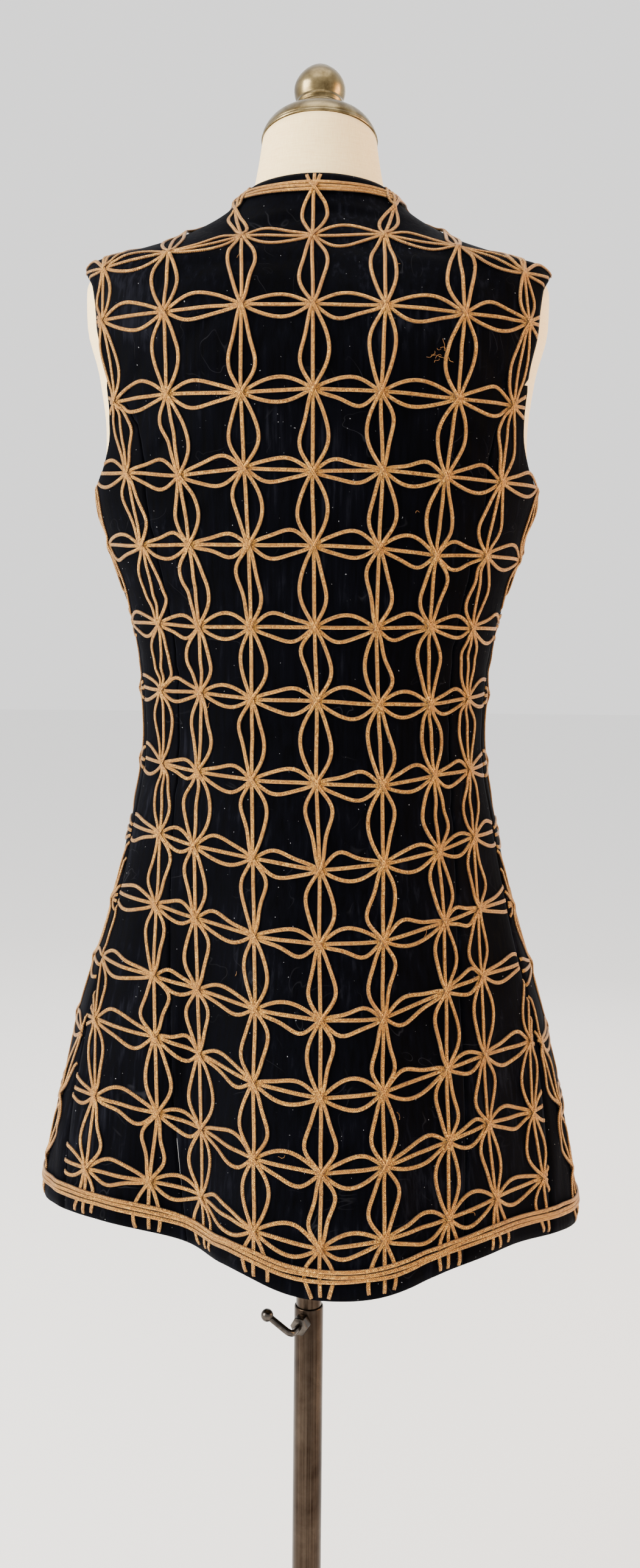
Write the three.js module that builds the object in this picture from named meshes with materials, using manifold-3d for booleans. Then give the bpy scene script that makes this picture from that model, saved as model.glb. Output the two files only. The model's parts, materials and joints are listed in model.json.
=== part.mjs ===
// A long sleeveless velvet vest, worn by a limbless dress form on a telescopic stand.
// Millimetres, +Z up. The floor is z = 0 and the pole stands on the Z axis.
// The wearer's back faces -Y, the front opening faces +Y and the wearer's right is +X.
import * as THREE from 'three';
import { mergeVertices } from 'three/addons/utils/BufferGeometryUtils.js';
import Module from 'manifold-3d';

const wasm = await Module();
wasm.setup();

// ---- driving dimensions ----
const WALL = 2;                 // velvet with its backing
const SEAM_GAP = 0.3;           // between two cut pieces
const PART_GAP = 0.3;           // between two parts of the stand and form
const FORM_CLEAR = 2.6;         // between the form and the inside of the vest
const BRAID_RISE = 1.4;         // thickness of the gold braid
const HEM_LEVEL = 521;
const NECK_LEVEL = 1409;
const SIDE_HEM_RISE = 7;        // the hem is shorter at the side seams
const HEM_LEAN = 9;             // and a little lower on the wearer's right
const FRONT_HEM_RISE = 9;
const FLARE_TOP = 900;          // below this level the rows follow the hem
const NECKLINE_DROP_LEVEL = 1282;
const BRAID_FROM_HEM = [13, 24];
const BRAID_FROM_EDGE = [6, 17];

// Outer face of the vest, a ring for each level (the height at the centre back).
// half: half width; back, front: depths from the ring's centre; power: roundness of the
// outline; centre: the ring centre's y; lift: how much higher the sides are than the back;
// drop: how much lower the front is.
const RINGS = [
  { level: 505, half: 234, back: 190, front: 152, power: 1.85, centre: 15, lift: 0, drop: 0 },
  { level: 600, half: 220, back: 171, front: 146, power: 1.9, centre: 12, lift: 0, drop: 0 },
  { level: 700, half: 198, back: 149, front: 139, power: 2.0, centre: 9, lift: 0, drop: 0 },
  { level: 780, half: 175, back: 130, front: 130, power: 2.05, centre: 6, lift: 0, drop: 0 },
  { level: 860, half: 157, back: 112, front: 118, power: 2.1, centre: 3, lift: 0, drop: 0 },
  { level: 937, half: 146, back: 98, front: 104, power: 2.15, centre: 0, lift: 0, drop: 0 },
  { level: 990, half: 149, back: 98, front: 108, power: 2.2, centre: 0, lift: 0, drop: 0 },
  { level: 1042, half: 160, back: 102, front: 117, power: 2.25, centre: 0, lift: 0, drop: 0 },
  { level: 1095, half: 177, back: 106, front: 125, power: 2.3, centre: 0, lift: 0, drop: 0 },
  { level: 1142, half: 189, back: 109, front: 127, power: 2.35, centre: 0, lift: 0, drop: 0 },
  { level: 1188, half: 185, back: 112, front: 121, power: 2.4, centre: 0, lift: 0, drop: 0 },
  { level: 1235, half: 191, back: 113, front: 112, power: 2.45, centre: 0, lift: 3, drop: 0 },
  { level: 1272, half: 202, back: 110, front: 101, power: 2.5, centre: 2, lift: 8, drop: 4 },
  { level: 1300, half: 204, back: 103, front: 91, power: 2.5, centre: 4, lift: 14, drop: 10 },
  { level: 1318, half: 198, back: 95, front: 83, power: 2.45, centre: 6, lift: 15, drop: 14 },
  { level: 1329, half: 181, back: 90, front: 78, power: 2.4, centre: 7.5, lift: 11, drop: 16 },
  { level: 1340, half: 158, back: 84, front: 72, power: 2.3, centre: 9, lift: 7, drop: 18 },
  { level: 1360, half: 118, back: 73, front: 63, power: 2.15, centre: 12, lift: 2, drop: 22 },
  { level: 1385, half: 81, back: 62, front: 57, power: 2.05, centre: 14, lift: -1, drop: 26 },
  { level: 1409, half: 62, back: 56, front: 55, power: 2.0, centre: 16, lift: -4, drop: 30 },
];

// Folds of the skirt: where each one hangs (degrees from the centre back, wearer's right
// positive), how wide it is, how far it stands out (or in) at the hem.
const FOLDS = [
  { at: 16, wide: 12, out: 8 },
  { at: -38, wide: 16, out: -40 },
  { at: -72, wide: 12, out: 8 },
  { at: 33, wide: 9, out: -2 },
  { at: 58, wide: 10, out: -6 },
  { at: 79, wide: 8, out: 3 },
  { at: 118, wide: 11, out: -8 },
  { at: 142, wide: 9, out: 5 },
  { at: -116, wide: 10, out: -6 },
  { at: -140, wide: 10, out: 6 },
  { at: -163, wide: 8, out: -4 },
  { at: 164, wide: 8, out: -3 },
];

// Where the hem hangs higher than level, over the folds that fall inwards.
const HEM_SWAGS = [
  { at: -60, wide: 28, up: 16 },
  { at: -18, wide: 12, up: 10 },
  { at: 49, wide: 30, up: 19 },
];

// Seams, as a share of the half width at a level: the seam in the back that runs into the
// armhole, and the side seam. The armhole's edges are angles from the centre back.
const BACK_SEAM = [
  { level: 505, share: 0.52 },
  { level: 700, share: 0.62 },
  { level: 850, share: 0.73 },
  { level: 937, share: 0.76 },
  { level: 1060, share: 0.745 },
  { level: 1142, share: 0.735 },
  { level: 1190, share: 0.79 },
  { level: 1232, share: 0.925 },
];
const SIDE_SEAM = [
  { level: 505, share: 0.86 },
  { level: 700, share: 0.93 },
  { level: 850, share: 0.965 },
  { level: 937, share: 0.975 },
  { level: 1060, share: 0.987 },
  { level: 1142, share: 0.995 },
];
const BACK_ARMHOLE = [
  { level: 1142, angle: 84 },
  { level: 1160, angle: 76.5 },
  { level: 1188, angle: 73.5 },
  { level: 1232, angle: 72.5 },
  { level: 1272, angle: 72.5 },
  { level: 1296, angle: 74.5 },
  { level: 1309, angle: 80 },
  { level: 1318, angle: 90 },
];
const FRONT_ARMHOLE = [
  { level: 1142, angle: 84 },
  { level: 1160, angle: 98 },
  { level: 1188, angle: 107 },
  { level: 1232, angle: 110 },
  { level: 1272, angle: 107 },
  { level: 1296, angle: 101 },
  { level: 1309, angle: 96 },
  { level: 1318, angle: 90 },
];
// Half of the gap between the two front edges.
const FRONT_GAP = [
  { level: 505, gap: 24 },
  { level: 900, gap: 4 },
  { level: 1142, gap: 3 },
  { level: 1409, gap: 3 },
];
const ROWS_BELOW_ARM = [60, 100, 140, 180, 220, 260, 300, 340, 380, 420, 460, 500, 540, 580];
const ARM_ROWS = [1142, 1160, 1175, 1188, 1210, 1228];
const UPPER_ROWS = [1250, 1272, 1285, 1296, 1309, 1318, 1323, 1329, 1334, 1340, 1350, 1360, 1372,
  1384, 1395];
const ARM_LEVEL = 1142;
const TIP_LEVEL = 1318;

// Stand and form.
const FORM_FLOOR = 720;         // underside of the torso
const NECK_TOP = { y: 17, z: 1448, tilt: 17.5, radius: 51 };
const NECK_WAIST = 0.01;        // how much the neck pulls in between its ends
const BASE_RADIUS = 165;
const BASE_HEIGHT = 14;
const INNER_POLE = 22;          // diameters
const OUTER_POLE = 25;
const OUTER_BORE = 23;
const OUTER_TOP = 441;
const LOCK_HEIGHT = 431;

const rad = THREE.MathUtils.degToRad;

// Smooth value of one column of a table at a level: a cubic that never overshoots.
function column(table, name, level) {
  const last = table.length - 1;
  if (level <= table[0].level) return table[0][name];
  if (level >= table[last].level) return table[last][name];
  let k = 0;
  while (level > table[k + 1].level) k += 1;
  const slope = (i) => {
    if (i < 0 || i >= last) return null;
    return (table[i + 1][name] - table[i][name]) / (table[i + 1].level - table[i].level);
  };
  const tangent = (i) => {
    const before = slope(i - 1);
    const after = slope(i);
    if (before === null) return after;
    if (after === null) return before;
    return before * after <= 0 ? 0 : (2 * before * after) / (before + after);
  };
  const span = table[k + 1].level - table[k].level;
  const s = (level - table[k].level) / span;
  const s2 = s * s;
  const s3 = s2 * s;
  return (2 * s3 - 3 * s2 + 1) * table[k][name] + (s3 - 2 * s2 + s) * span * tangent(k)
    + (3 * s2 - 2 * s3) * table[k + 1][name] + (s3 - s2) * span * tangent(k + 1);
}

function ringAt(level) {
  const ring = {};
  for (const name of ['half', 'back', 'front', 'power', 'centre', 'lift', 'drop']) {
    ring[name] = column(RINGS, name, level);
  }
  return ring;
}

// Distance from a ring's centre to its outline at an angle from the centre back.
function reach(ring, angle) {
  const across = Math.abs(Math.sin(rad(angle))) / ring.half;
  const along = Math.cos(rad(angle));
  const depth = Math.abs(along) / (along > 0 ? ring.back : ring.front);
  return (across ** ring.power + depth ** ring.power) ** (-1 / ring.power);
}

function foldOut(level, angle) {
  const hang = Math.max(0, (FLARE_TOP - level) / (FLARE_TOP - HEM_LEVEL));
  let out = 0;
  for (const fold of FOLDS) {
    out += fold.out * Math.exp(-(((angle - fold.at) / fold.wide) ** 2));
  }
  return out * hang ** 1.4;
}

// A point of the vest's outer face.
function facePoint(level, angle) {
  const ring = ringAt(level);
  const r = reach(ring, angle) + foldOut(level, angle);
  const c = Math.cos(rad(angle));
  const s = Math.sin(rad(angle));
  const tilt = c > 0 ? 0 : ring.drop * c * c;
  return new THREE.Vector3(r * s, ring.centre - r * c, level + ring.lift * s * s - tilt);
}

function faceNormal(level, angle) {
  const along = facePoint(level, angle + 0.2).sub(facePoint(level, angle - 0.2));
  const up = facePoint(level + 0.5, angle).sub(facePoint(level - 0.5, angle));
  return along.cross(up).normalize();
}

// The angle at which the outline has this share of the half width.
function shareAngle(level, share) {
  const ring = ringAt(level);
  const depth = (1 - share ** ring.power) ** (1 / ring.power);
  return THREE.MathUtils.radToDeg(Math.atan2(share * ring.half, depth * ring.back));
}

function mmToAngle(level, angle, distance) {
  const step = facePoint(level, angle + 0.5).distanceTo(facePoint(level, angle - 0.5));
  return distance / step;
}

const backSeam = (level) => shareAngle(level, column(BACK_SEAM, 'share', level));
const sideSeam = (level) => shareAngle(level, column(SIDE_SEAM, 'share', level));

function backEdge(level) {
  if (level < ARM_LEVEL) return sideSeam(level);
  return column(BACK_ARMHOLE, 'angle', level);
}

function frontSideEdge(level) {
  if (level < ARM_LEVEL) return sideSeam(level);
  return column(FRONT_ARMHOLE, 'angle', level);
}

function frontOpening(level) {
  return 180 - mmToAngle(level, 178, column(FRONT_GAP, 'gap', level));
}

// Level of the hem's edge at an angle, and of a row that follows it less and less.
function rowLevel(row, angle) {
  const s = Math.sin(rad(angle));
  let rise = SIDE_HEM_RISE * s * s - HEM_LEAN * s;
  if (Math.cos(rad(angle)) < 0) rise += FRONT_HEM_RISE * (1 - s * s);
  for (const swag of HEM_SWAGS) rise += swag.up * Math.exp(-(((angle - swag.at) / swag.wide) ** 2));
  const follow = Math.max(0, (FLARE_TOP - row) / (FLARE_TOP - HEM_LEVEL));
  return row + rise * follow;
}

// ---- rows shared by all panels, so that their facets meet at the seams ----
const LOWER_ROWS = [HEM_LEVEL, ...BRAID_FROM_HEM.map((d) => HEM_LEVEL + d),
  ...ROWS_BELOW_ARM.map((d) => HEM_LEVEL + d)];
const TOP_ROWS = [NECK_LEVEL - BRAID_FROM_EDGE[1], NECK_LEVEL - BRAID_FROM_EDGE[0], NECK_LEVEL];
const BODY_ROWS = [...LOWER_ROWS, ...ARM_ROWS];
const ALL_ROWS = [...BODY_ROWS, ...UPPER_ROWS.slice(0, -1), ...TOP_ROWS];

// A panel's grid: points[row][column] = {level, angle}.
function gridOf(rows, columns, placeAt) {
  return rows.map((row, j) => columns.map((u, i) => placeAt(row, u, j, i)));
}

function spread(count) {
  return Array.from({ length: count + 1 }, (_, i) => i / count);
}

// Columns lie closer together at the sides, where the outline turns.
const toSides = (u) => 0.5 * u + 0.5 * Math.sin(u * Math.PI / 2);
const fromSide = (u) => 0.5 * u + 0.5 * (1 - Math.cos(u * Math.PI / 2));

function backCentreGrid() {
  return gridOf(ALL_ROWS, spread(16).map((u) => toSides(2 * u - 1)), (row, u) => {
    let edge = 0;
    if (row <= ARM_ROWS[ARM_ROWS.length - 1]) edge = backSeam(row);
    else if (row < TIP_LEVEL) edge = column(BACK_ARMHOLE, 'angle', row);
    else edge = 90;
    edge -= mmToAngle(row, edge, SEAM_GAP / 2);
    return { level: rowLevel(row, u * edge), angle: u * edge };
  });
}

function backSideGrid(sign) {
  const columns = sign > 0 ? spread(5) : spread(5).reverse();
  return gridOf(BODY_ROWS, columns, (row, u) => {
    const seam = backSeam(row);
    const edge = backEdge(row);
    const inner = seam + mmToAngle(row, seam, SEAM_GAP / 2);
    const outer = edge - mmToAngle(row, edge, SEAM_GAP / 2);
    const angle = sign * (inner + (outer - inner) * u);
    return { level: rowLevel(row, angle), angle };
  });
}

// The front's rows dip towards the opening above the armhole, so that the last is the neckline.
function frontGrid(sign) {
  const inside = spread(9).map(fromSide);
  const places = [...inside.slice(0, -1), 'braid', 'edge', 'end'];
  const columns = sign > 0 ? places : [...places].reverse();
  const dip = (row) => {
    const rise = Math.max(0, (row - ARM_LEVEL) / (NECK_LEVEL - ARM_LEVEL));
    return (NECK_LEVEL - NECKLINE_DROP_LEVEL) * rise;
  };
  return gridOf(ALL_ROWS, columns, (row, place) => {
    const start = row < TIP_LEVEL ? frontSideEdge(row) : 90;
    const from = start + mmToAngle(row, start, SEAM_GAP / 2);
    const low = row - dip(row);
    const end = frontOpening(low);
    const offset = { braid: BRAID_FROM_EDGE[1], edge: BRAID_FROM_EDGE[0], end: 0 };
    let angle = 0;
    if (typeof place === 'number') {
      const stop = end - mmToAngle(low, 176, BRAID_FROM_EDGE[1]);
      angle = from + (stop - from) * place;
    } else {
      angle = end - mmToAngle(low, 176, offset[place]);
    }
    const part = (angle - from) / (end - from);
    const ease = Math.sin(part * Math.PI / 2) ** 1.2;
    return { level: rowLevel(row - dip(row) * ease, sign * angle), angle: sign * angle };
  });
}

// A closed wall from two layers of points, outer[row][column] and inner[row][column].
function wallGeometry(outer, inner) {
  const rows = outer.length;
  const columns = outer[0].length;
  const at = (layer, j, i) => layer * rows * columns + j * columns + i;
  const position = [];
  for (const layer of [outer, inner]) {
    for (const row of layer) for (const p of row) position.push(p.x, p.y, p.z);
  }
  const index = [];
  const quad = (a, b, c, d) => index.push(a, b, c, a, c, d);
  for (let j = 0; j + 1 < rows; j += 1) {
    for (let i = 0; i + 1 < columns; i += 1) {
      quad(at(0, j, i), at(0, j, i + 1), at(0, j + 1, i + 1), at(0, j + 1, i));
      quad(at(1, j, i), at(1, j + 1, i), at(1, j + 1, i + 1), at(1, j, i + 1));
    }
  }
  for (let j = 0; j + 1 < rows; j += 1) {
    quad(at(0, j, 0), at(0, j + 1, 0), at(1, j + 1, 0), at(1, j, 0));
    const e = columns - 1;
    quad(at(0, j, e), at(1, j, e), at(1, j + 1, e), at(0, j + 1, e));
  }
  for (let i = 0; i + 1 < columns; i += 1) {
    quad(at(0, 0, i), at(1, 0, i), at(1, 0, i + 1), at(0, 0, i + 1));
    const e = rows - 1;
    quad(at(0, e, i), at(0, e, i + 1), at(1, e, i + 1), at(1, e, i));
  }
  const geometry = new THREE.BufferGeometry();
  geometry.setAttribute('position', new THREE.Float32BufferAttribute(position, 3));
  geometry.setIndex(index);
  return geometry;
}

function movedOut(grid, distance) {
  return grid.map((row) => row.map((p) => facePoint(p.level, p.angle)
    .addScaledVector(faceNormal(p.level, p.angle), distance)));
}

function panelGeometry(grid) {
  return wallGeometry(movedOut(grid, 0), movedOut(grid, -WALL));
}

// A braid lies 0.3 mm above the panel points that it is made from.
function braidGeometry(strip) {
  return wallGeometry(movedOut(strip, SEAM_GAP + BRAID_RISE), movedOut(strip, SEAM_GAP));
}

// ---- the dress form ----
function formPoint(level, angle, clearance) {
  const p = facePoint(level, angle);
  return p.addScaledVector(faceNormal(level, angle), -clearance);
}

// Closed solid through rings of points, with a flat fan at both ends.
function loftGeometry(rings) {
  const count = rings[0].length;
  const position = [];
  for (const ring of rings) for (const p of ring) position.push(p.x, p.y, p.z);
  const centre = (ring) => {
    const sum = new THREE.Vector3();
    for (const p of ring) sum.add(p);
    return sum.divideScalar(ring.length);
  };
  const low = centre(rings[0]);
  const high = centre(rings[rings.length - 1]);
  position.push(low.x, low.y, low.z, high.x, high.y, high.z);
  const lowIndex = rings.length * count;
  const index = [];
  for (let j = 0; j + 1 < rings.length; j += 1) {
    for (let i = 0; i < count; i += 1) {
      const n = (i + 1) % count;
      const a = j * count + i;
      const b = j * count + n;
      index.push(a, b, b + count, a, b + count, a + count);
    }
  }
  const top = (rings.length - 1) * count;
  for (let i = 0; i < count; i += 1) {
    const n = (i + 1) % count;
    index.push(lowIndex, n, i);
    index.push(lowIndex + 1, top + i, top + n);
  }
  const geometry = new THREE.BufferGeometry();
  geometry.setAttribute('position', new THREE.Float32BufferAttribute(position, 3));
  geometry.setIndex(index);
  return geometry;
}

// The form is smaller than the vest: by the wall and a little air at the shoulders, by
// more at the waist and hips, where the velvet stands off.
const FORM_SLACK = [
  { level: 700, slack: 26 },
  { level: 860, slack: 9 },
  { level: 937, slack: 6 },
  { level: 1060, slack: 6 },
  { level: 1142, slack: 8 },
  { level: 1188, slack: 5 },
  { level: 1250, slack: WALL + FORM_CLEAR },
  { level: 1296, slack: 5.5 },
  { level: 1318, slack: 7.5 },
  { level: 1334, slack: 7.5 },
  { level: 1355, slack: 5.5 },
  { level: 1409, slack: WALL + FORM_CLEAR },
];
const FORM_LEVELS = [FORM_FLOOR, 728, 790, 850, 900, 941, 985, 1030, 1085, 1142, 1188, 1228, 1250,
  1272, 1296, 1309, 1318, 1329, 1340, 1350, 1360, 1372, 1384, 1396, NECK_LEVEL];
const FORM_SIDES = 36;
const SIDE_CROWDING = 12;       // degrees by which the facets crowd towards the sides

function formAngles() {
  const even = spread(FORM_SIDES).slice(0, -1).map((u) => 360 * u);
  return even.map((angle) => angle + SIDE_CROWDING * Math.sin(rad(2 * angle)));
}

function torsoGeometry() {
  const rings = FORM_LEVELS.map((level, k) => {
    const slack = column(FORM_SLACK, 'slack', level) + (k === 0 ? 6 : 0);
    return formAngles().map((angle) => {
      const p = formPoint(Math.max(level, 700), angle, slack);
      if (level <= FORM_LEVELS[1]) p.z = level;
      return p;
    });
  });
  for (const height of [0.35, 0.7, 1]) {
    rings.push(neckRing(height));
  }
  return loftGeometry(rings);
}

// Neck rings turn from the neck opening's outline to the tilted round top.
function neckRing(height) {
  const from = ringAt(NECK_LEVEL);
  return formAngles().map((angle) => {
    const start = formPoint(NECK_LEVEL, angle, WALL + FORM_CLEAR);
    const radius = NECK_TOP.radius - 1;
    const end = new THREE.Vector3(Math.sin(rad(angle)), -Math.cos(rad(angle)), 0);
    end.multiplyScalar(radius);
    end.applyAxisAngle(new THREE.Vector3(1, 0, 0), -rad(NECK_TOP.tilt));
    end.add(new THREE.Vector3(0, NECK_TOP.y, NECK_TOP.z));
    const straight = start.clone().lerp(end, height);
    const pull = 1 - NECK_WAIST * Math.sin(Math.PI * height);
    straight.x *= pull;
    straight.y = from.centre + (straight.y - from.centre) * pull;
    return straight;
  });
}

// ---- turned parts ----
function turned(profile, sides) {
  const points = profile.map(([r, z]) => new THREE.Vector2(r, z));
  const geometry = new THREE.LatheGeometry(points, sides);
  geometry.rotateX(Math.PI / 2);
  return geometry;
}

// Cap over the neck: a shallow turned dome with a rim, and the mushroom knob above it.
const CAP_PROFILE = [[0, 0], [50, 0], [51, 0.8], [51, 2.5], [50.2, 5.5], [48.8, 9], [46.8, 12.8],
  [43.6, 16.7], [39, 20.3], [33, 23.6], [27, 25.8], [21, 27.2], [0, 27.2]];
const FINIAL_PROFILE = [[0, 27.5], [20.4, 27.5], [21.4, 29], [21, 34], [19.8, 36.4], [20.9, 38.6],
  [20.4, 42], [21.4, 45], [22.6, 49.5], [23, 54], [22.5, 58], [21, 62.4], [18.4, 67], [14.8, 71.4],
  [10.2, 75.6], [5.6, 78.3], [0, 79.8]];

function capPlaced(geometry) {
  geometry.translate(0, 0, PART_GAP);
  geometry.rotateX(-rad(NECK_TOP.tilt));
  geometry.translate(0, NECK_TOP.y, NECK_TOP.z);
  return geometry;
}

// ---- the stand ----
const PLATE_TOP = FORM_FLOOR - PART_GAP;
const PLATE_HEIGHT = 12;
const PLATE_RADIUS = 60;
const INNER_BOTTOM = 90;
const SOCKET_FLOOR = 6;

function basePlateGeometry() {
  const edge = BASE_RADIUS;
  return turned([[0, 0], [edge - 2, 0], [edge, 2], [edge, 9], [edge - 3, 12], [120, BASE_HEIGHT],
    [0, BASE_HEIGHT]], 40);
}

// The socket is one piece with a shoulder under the outer tube.
function baseSocketGeometry() {
  const low = BASE_HEIGHT + PART_GAP;
  const bore = OUTER_POLE / 2 + PART_GAP;
  return turned([[0, low], [26, low], [26, low + 5], [19, low + 14], [17, low + 30],
    [bore, low + 30], [bore, low + SOCKET_FLOOR],
    [0, low + SOCKET_FLOOR]], 24);
}

function outerTubeGeometry() {
  const low = BASE_HEIGHT + 2 * PART_GAP + SOCKET_FLOOR;
  const r = OUTER_POLE / 2;
  const bore = OUTER_BORE / 2;
  return turned([[bore, low], [r, low], [r, OUTER_TOP - 1], [r - 0.4, OUTER_TOP],
    [bore, OUTER_TOP], [bore, low]], 24);
}

function innerTubeGeometry() {
  const r = INNER_POLE / 2;
  const top = PLATE_TOP - PLATE_HEIGHT - PART_GAP;
  return turned([[0, INNER_BOTTOM], [r, INNER_BOTTOM], [r, top],
    [0, top]], 24);
}

function torsoPlateGeometry() {
  const top = PLATE_TOP;
  return turned([[0, top - PLATE_HEIGHT], [PLATE_RADIUS - 3, top - PLATE_HEIGHT],
    [PLATE_RADIUS, top - PLATE_HEIGHT + 3], [PLATE_RADIUS, top], [0, top]], 24);
}

// The lock: a hexagonal nut on the outer tube, its axis towards the back and a little to
// the wearer's left, and a bent lever with a ball that turns in it.
const LOCK_SIDE = 22;            // degrees from straight back
const NUT_ACROSS = 14;
const NUT_LENGTH = 9;
const NUT_BORE = 6.6;
const ROD = 5.6;
const NUT_START = OUTER_POLE / 2 + 0.6;
const LEVER_OUT = 25;
const LEVER_BEND = 6;
const LEVER_ARM = 22;
const LEVER_RISE = 34;           // degrees above level
const BALL = 10.5;

function nutGeometry() {
  const outline = new THREE.Shape();
  for (let k = 0; k < 6; k += 1) {
    const corner = NUT_ACROSS / Math.sqrt(3);
    const x = corner * Math.cos(rad(60 * k + 30));
    const y = corner * Math.sin(rad(60 * k + 30));
    if (k === 0) outline.moveTo(x, y);
    else outline.lineTo(x, y);
  }
  outline.closePath();
  const bore = new THREE.Path();
  bore.absarc(0, 0, NUT_BORE / 2, 0, 2 * Math.PI, true);
  outline.holes.push(bore);
  return new THREE.ExtrudeGeometry(outline, {
    depth: NUT_LENGTH, bevelEnabled: true, bevelSize: 0.6, bevelThickness: 0.6,
    bevelOffset: -0.6, bevelSegments: 1, curveSegments: 6,
  });
}

// Lever in the lock's own axes: out along +Z, then up and to one side.
function leverGeometry() {
  const side = new THREE.Vector3(-Math.cos(rad(LEVER_RISE)), Math.sin(rad(LEVER_RISE)), 0.12);
  side.normalize();
  const start = new THREE.Vector3(0, 0, 1.2);
  const corner = new THREE.Vector3(0, 0, LEVER_OUT);
  const path = new THREE.CurvePath();
  const bendIn = new THREE.Vector3(0, 0, LEVER_OUT - LEVER_BEND);
  const bendOut = corner.clone().addScaledVector(side, LEVER_BEND);
  const end = corner.clone().addScaledVector(side, LEVER_ARM);
  path.add(new THREE.LineCurve3(start, bendIn));
  path.add(new THREE.QuadraticBezierCurve3(bendIn, corner, bendOut));
  path.add(new THREE.LineCurve3(bendOut, end));
  const section = new THREE.Shape();
  section.absarc(0, 0, ROD / 2, 0, 2 * Math.PI, false);
  const rod = new THREE.ExtrudeGeometry(section, {
    steps: 18, extrudePath: path, curveSegments: 5, bevelEnabled: false,
  });
  const ball = new THREE.SphereGeometry(BALL / 2, 14, 10);
  ball.translate(...end.clone().addScaledVector(side, BALL / 2 - 1.5).toArray());
  return joined(rod, ball);
}

function solidOf(geometry) {
  const clean = geometry.clone();
  clean.deleteAttribute('normal');
  clean.deleteAttribute('uv');
  const merged = mergeVertices(clean, 1e-4);
  return new wasm.Manifold(new wasm.Mesh({
    numProp: 3,
    vertProperties: new Float32Array(merged.attributes.position.array),
    triVerts: new Uint32Array(merged.index.array),
  }));
}

function joined(first, second) {
  const mesh = solidOf(first).add(solidOf(second)).getMesh();
  const geometry = new THREE.BufferGeometry();
  geometry.setAttribute('position', new THREE.BufferAttribute(mesh.vertProperties, 3));
  geometry.setIndex(new THREE.BufferAttribute(mesh.triVerts, 1));
  return geometry;
}

// ---- scene graph ----
const velvet = new THREE.MeshStandardMaterial({ color: 0x0c0d12, roughness: 0.9 });
const gold = new THREE.MeshStandardMaterial({ color: 0xc79a3c, roughness: 0.5, metalness: 0.6 });
const linen = new THREE.MeshStandardMaterial({ color: 0xd9d2c0, roughness: 0.9 });
const brass = new THREE.MeshStandardMaterial({ color: 0x6f5a38, roughness: 0.4, metalness: 1 });
const bronze = new THREE.MeshStandardMaterial({ color: 0x5a5148, roughness: 0.4, metalness: 1 });
const gunmetal = new THREE.MeshStandardMaterial({ color: 0x3a3733, roughness: 0.4, metalness: 1 });

const vestOnForm = new THREE.Group();

function add(name, geometry, material, parent = vestOnForm) {
  const mesh = new THREE.Mesh(geometry, material);
  mesh.name = name;
  parent.add(mesh);
  return mesh;
}

const grids = {
  front_left: frontGrid(-1),
  back_side_left: backSideGrid(-1),
  back_centre: backCentreGrid(),
  back_side_right: backSideGrid(1),
  front_right: frontGrid(1),
};
for (const [name, grid] of Object.entries(grids)) add(name, panelGeometry(grid), velvet);

// Hem braid: rows 1 and 2 of every panel, from 4 mm inside one front edge to the other.
function hemStrip() {
  const row = (j) => {
    const pieces = Object.values(grids).map((grid) => grid[j]);
    return pieces.flat().slice(1, -1);
  };
  return [row(1), row(2)];
}

// Neck braid: the rows 14 mm and 4 mm below the neckline of both fronts and the back.
function neckStrip() {
  const row = (fromTop) => {
    const pieces = [grids.front_left, grids.back_centre, grids.front_right];
    return pieces.map((grid) => grid[grid.length - 1 - fromTop]).flat().slice(1, -1);
  };
  return [row(2), row(1)];
}

// Front braids: the columns 14 mm and 4 mm from the edge, between the hem and neck braids.
function frontStrip(grid, sign) {
  const middle = grid.slice(2, -2);
  const gap = { bottom: SEAM_GAP, top: -SEAM_GAP };
  return middle.map((row, j) => {
    const pair = sign > 0 ? row.slice(-3, -1) : row.slice(1, 3);
    let shift = 0;
    if (j === 0) shift = gap.bottom;
    if (j === middle.length - 1) shift = gap.top;
    return pair.map((p) => ({ level: p.level + shift, angle: p.angle }));
  });
}

add('hem_braid', braidGeometry(hemStrip()), gold);
add('neck_braid', braidGeometry(neckStrip()), gold);
add('front_braid_left', braidGeometry(frontStrip(grids.front_left, -1)), gold);
add('front_braid_right', braidGeometry(frontStrip(grids.front_right, 1)), gold);

add('torso', torsoGeometry(), linen);
add('neck_cap', capPlaced(turned(CAP_PROFILE, 24)), brass);
add('cap_finial', capPlaced(turned(FINIAL_PROFILE, 20)), brass);
add('torso_plate', torsoPlateGeometry(), gunmetal);
add('inner_tube', innerTubeGeometry(), bronze);
add('outer_tube', outerTubeGeometry(), bronze);
add('base_socket', baseSocketGeometry(), gunmetal);
add('base_plate', basePlateGeometry(), gunmetal);

const lock = new THREE.Group();
lock.position.set(0, 0, LOCK_HEIGHT);
lock.rotation.set(Math.PI / 2, 0, -rad(LOCK_SIDE), 'ZXY');
vestOnForm.add(lock);
const nut = add('lock_nut', nutGeometry(), gunmetal, lock);
nut.position.z = NUT_START + 0.6;
const lever = add('lock_lever', leverGeometry(), gunmetal, lock);
lever.position.z = NUT_START;

export default vestOnForm;
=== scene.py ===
"""A long sleeveless velvet vest with a trellis of couched gold cord, on a dress form.

The wearer's back faces -Y, the front opening faces +Y and the wearer's right is +X.
Sizes are in millimetres until a mesh is made, and meshes are in metres.
"""
import json
import math

import bpy
import numpy as np
from mathutils import Matrix, Vector

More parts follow.
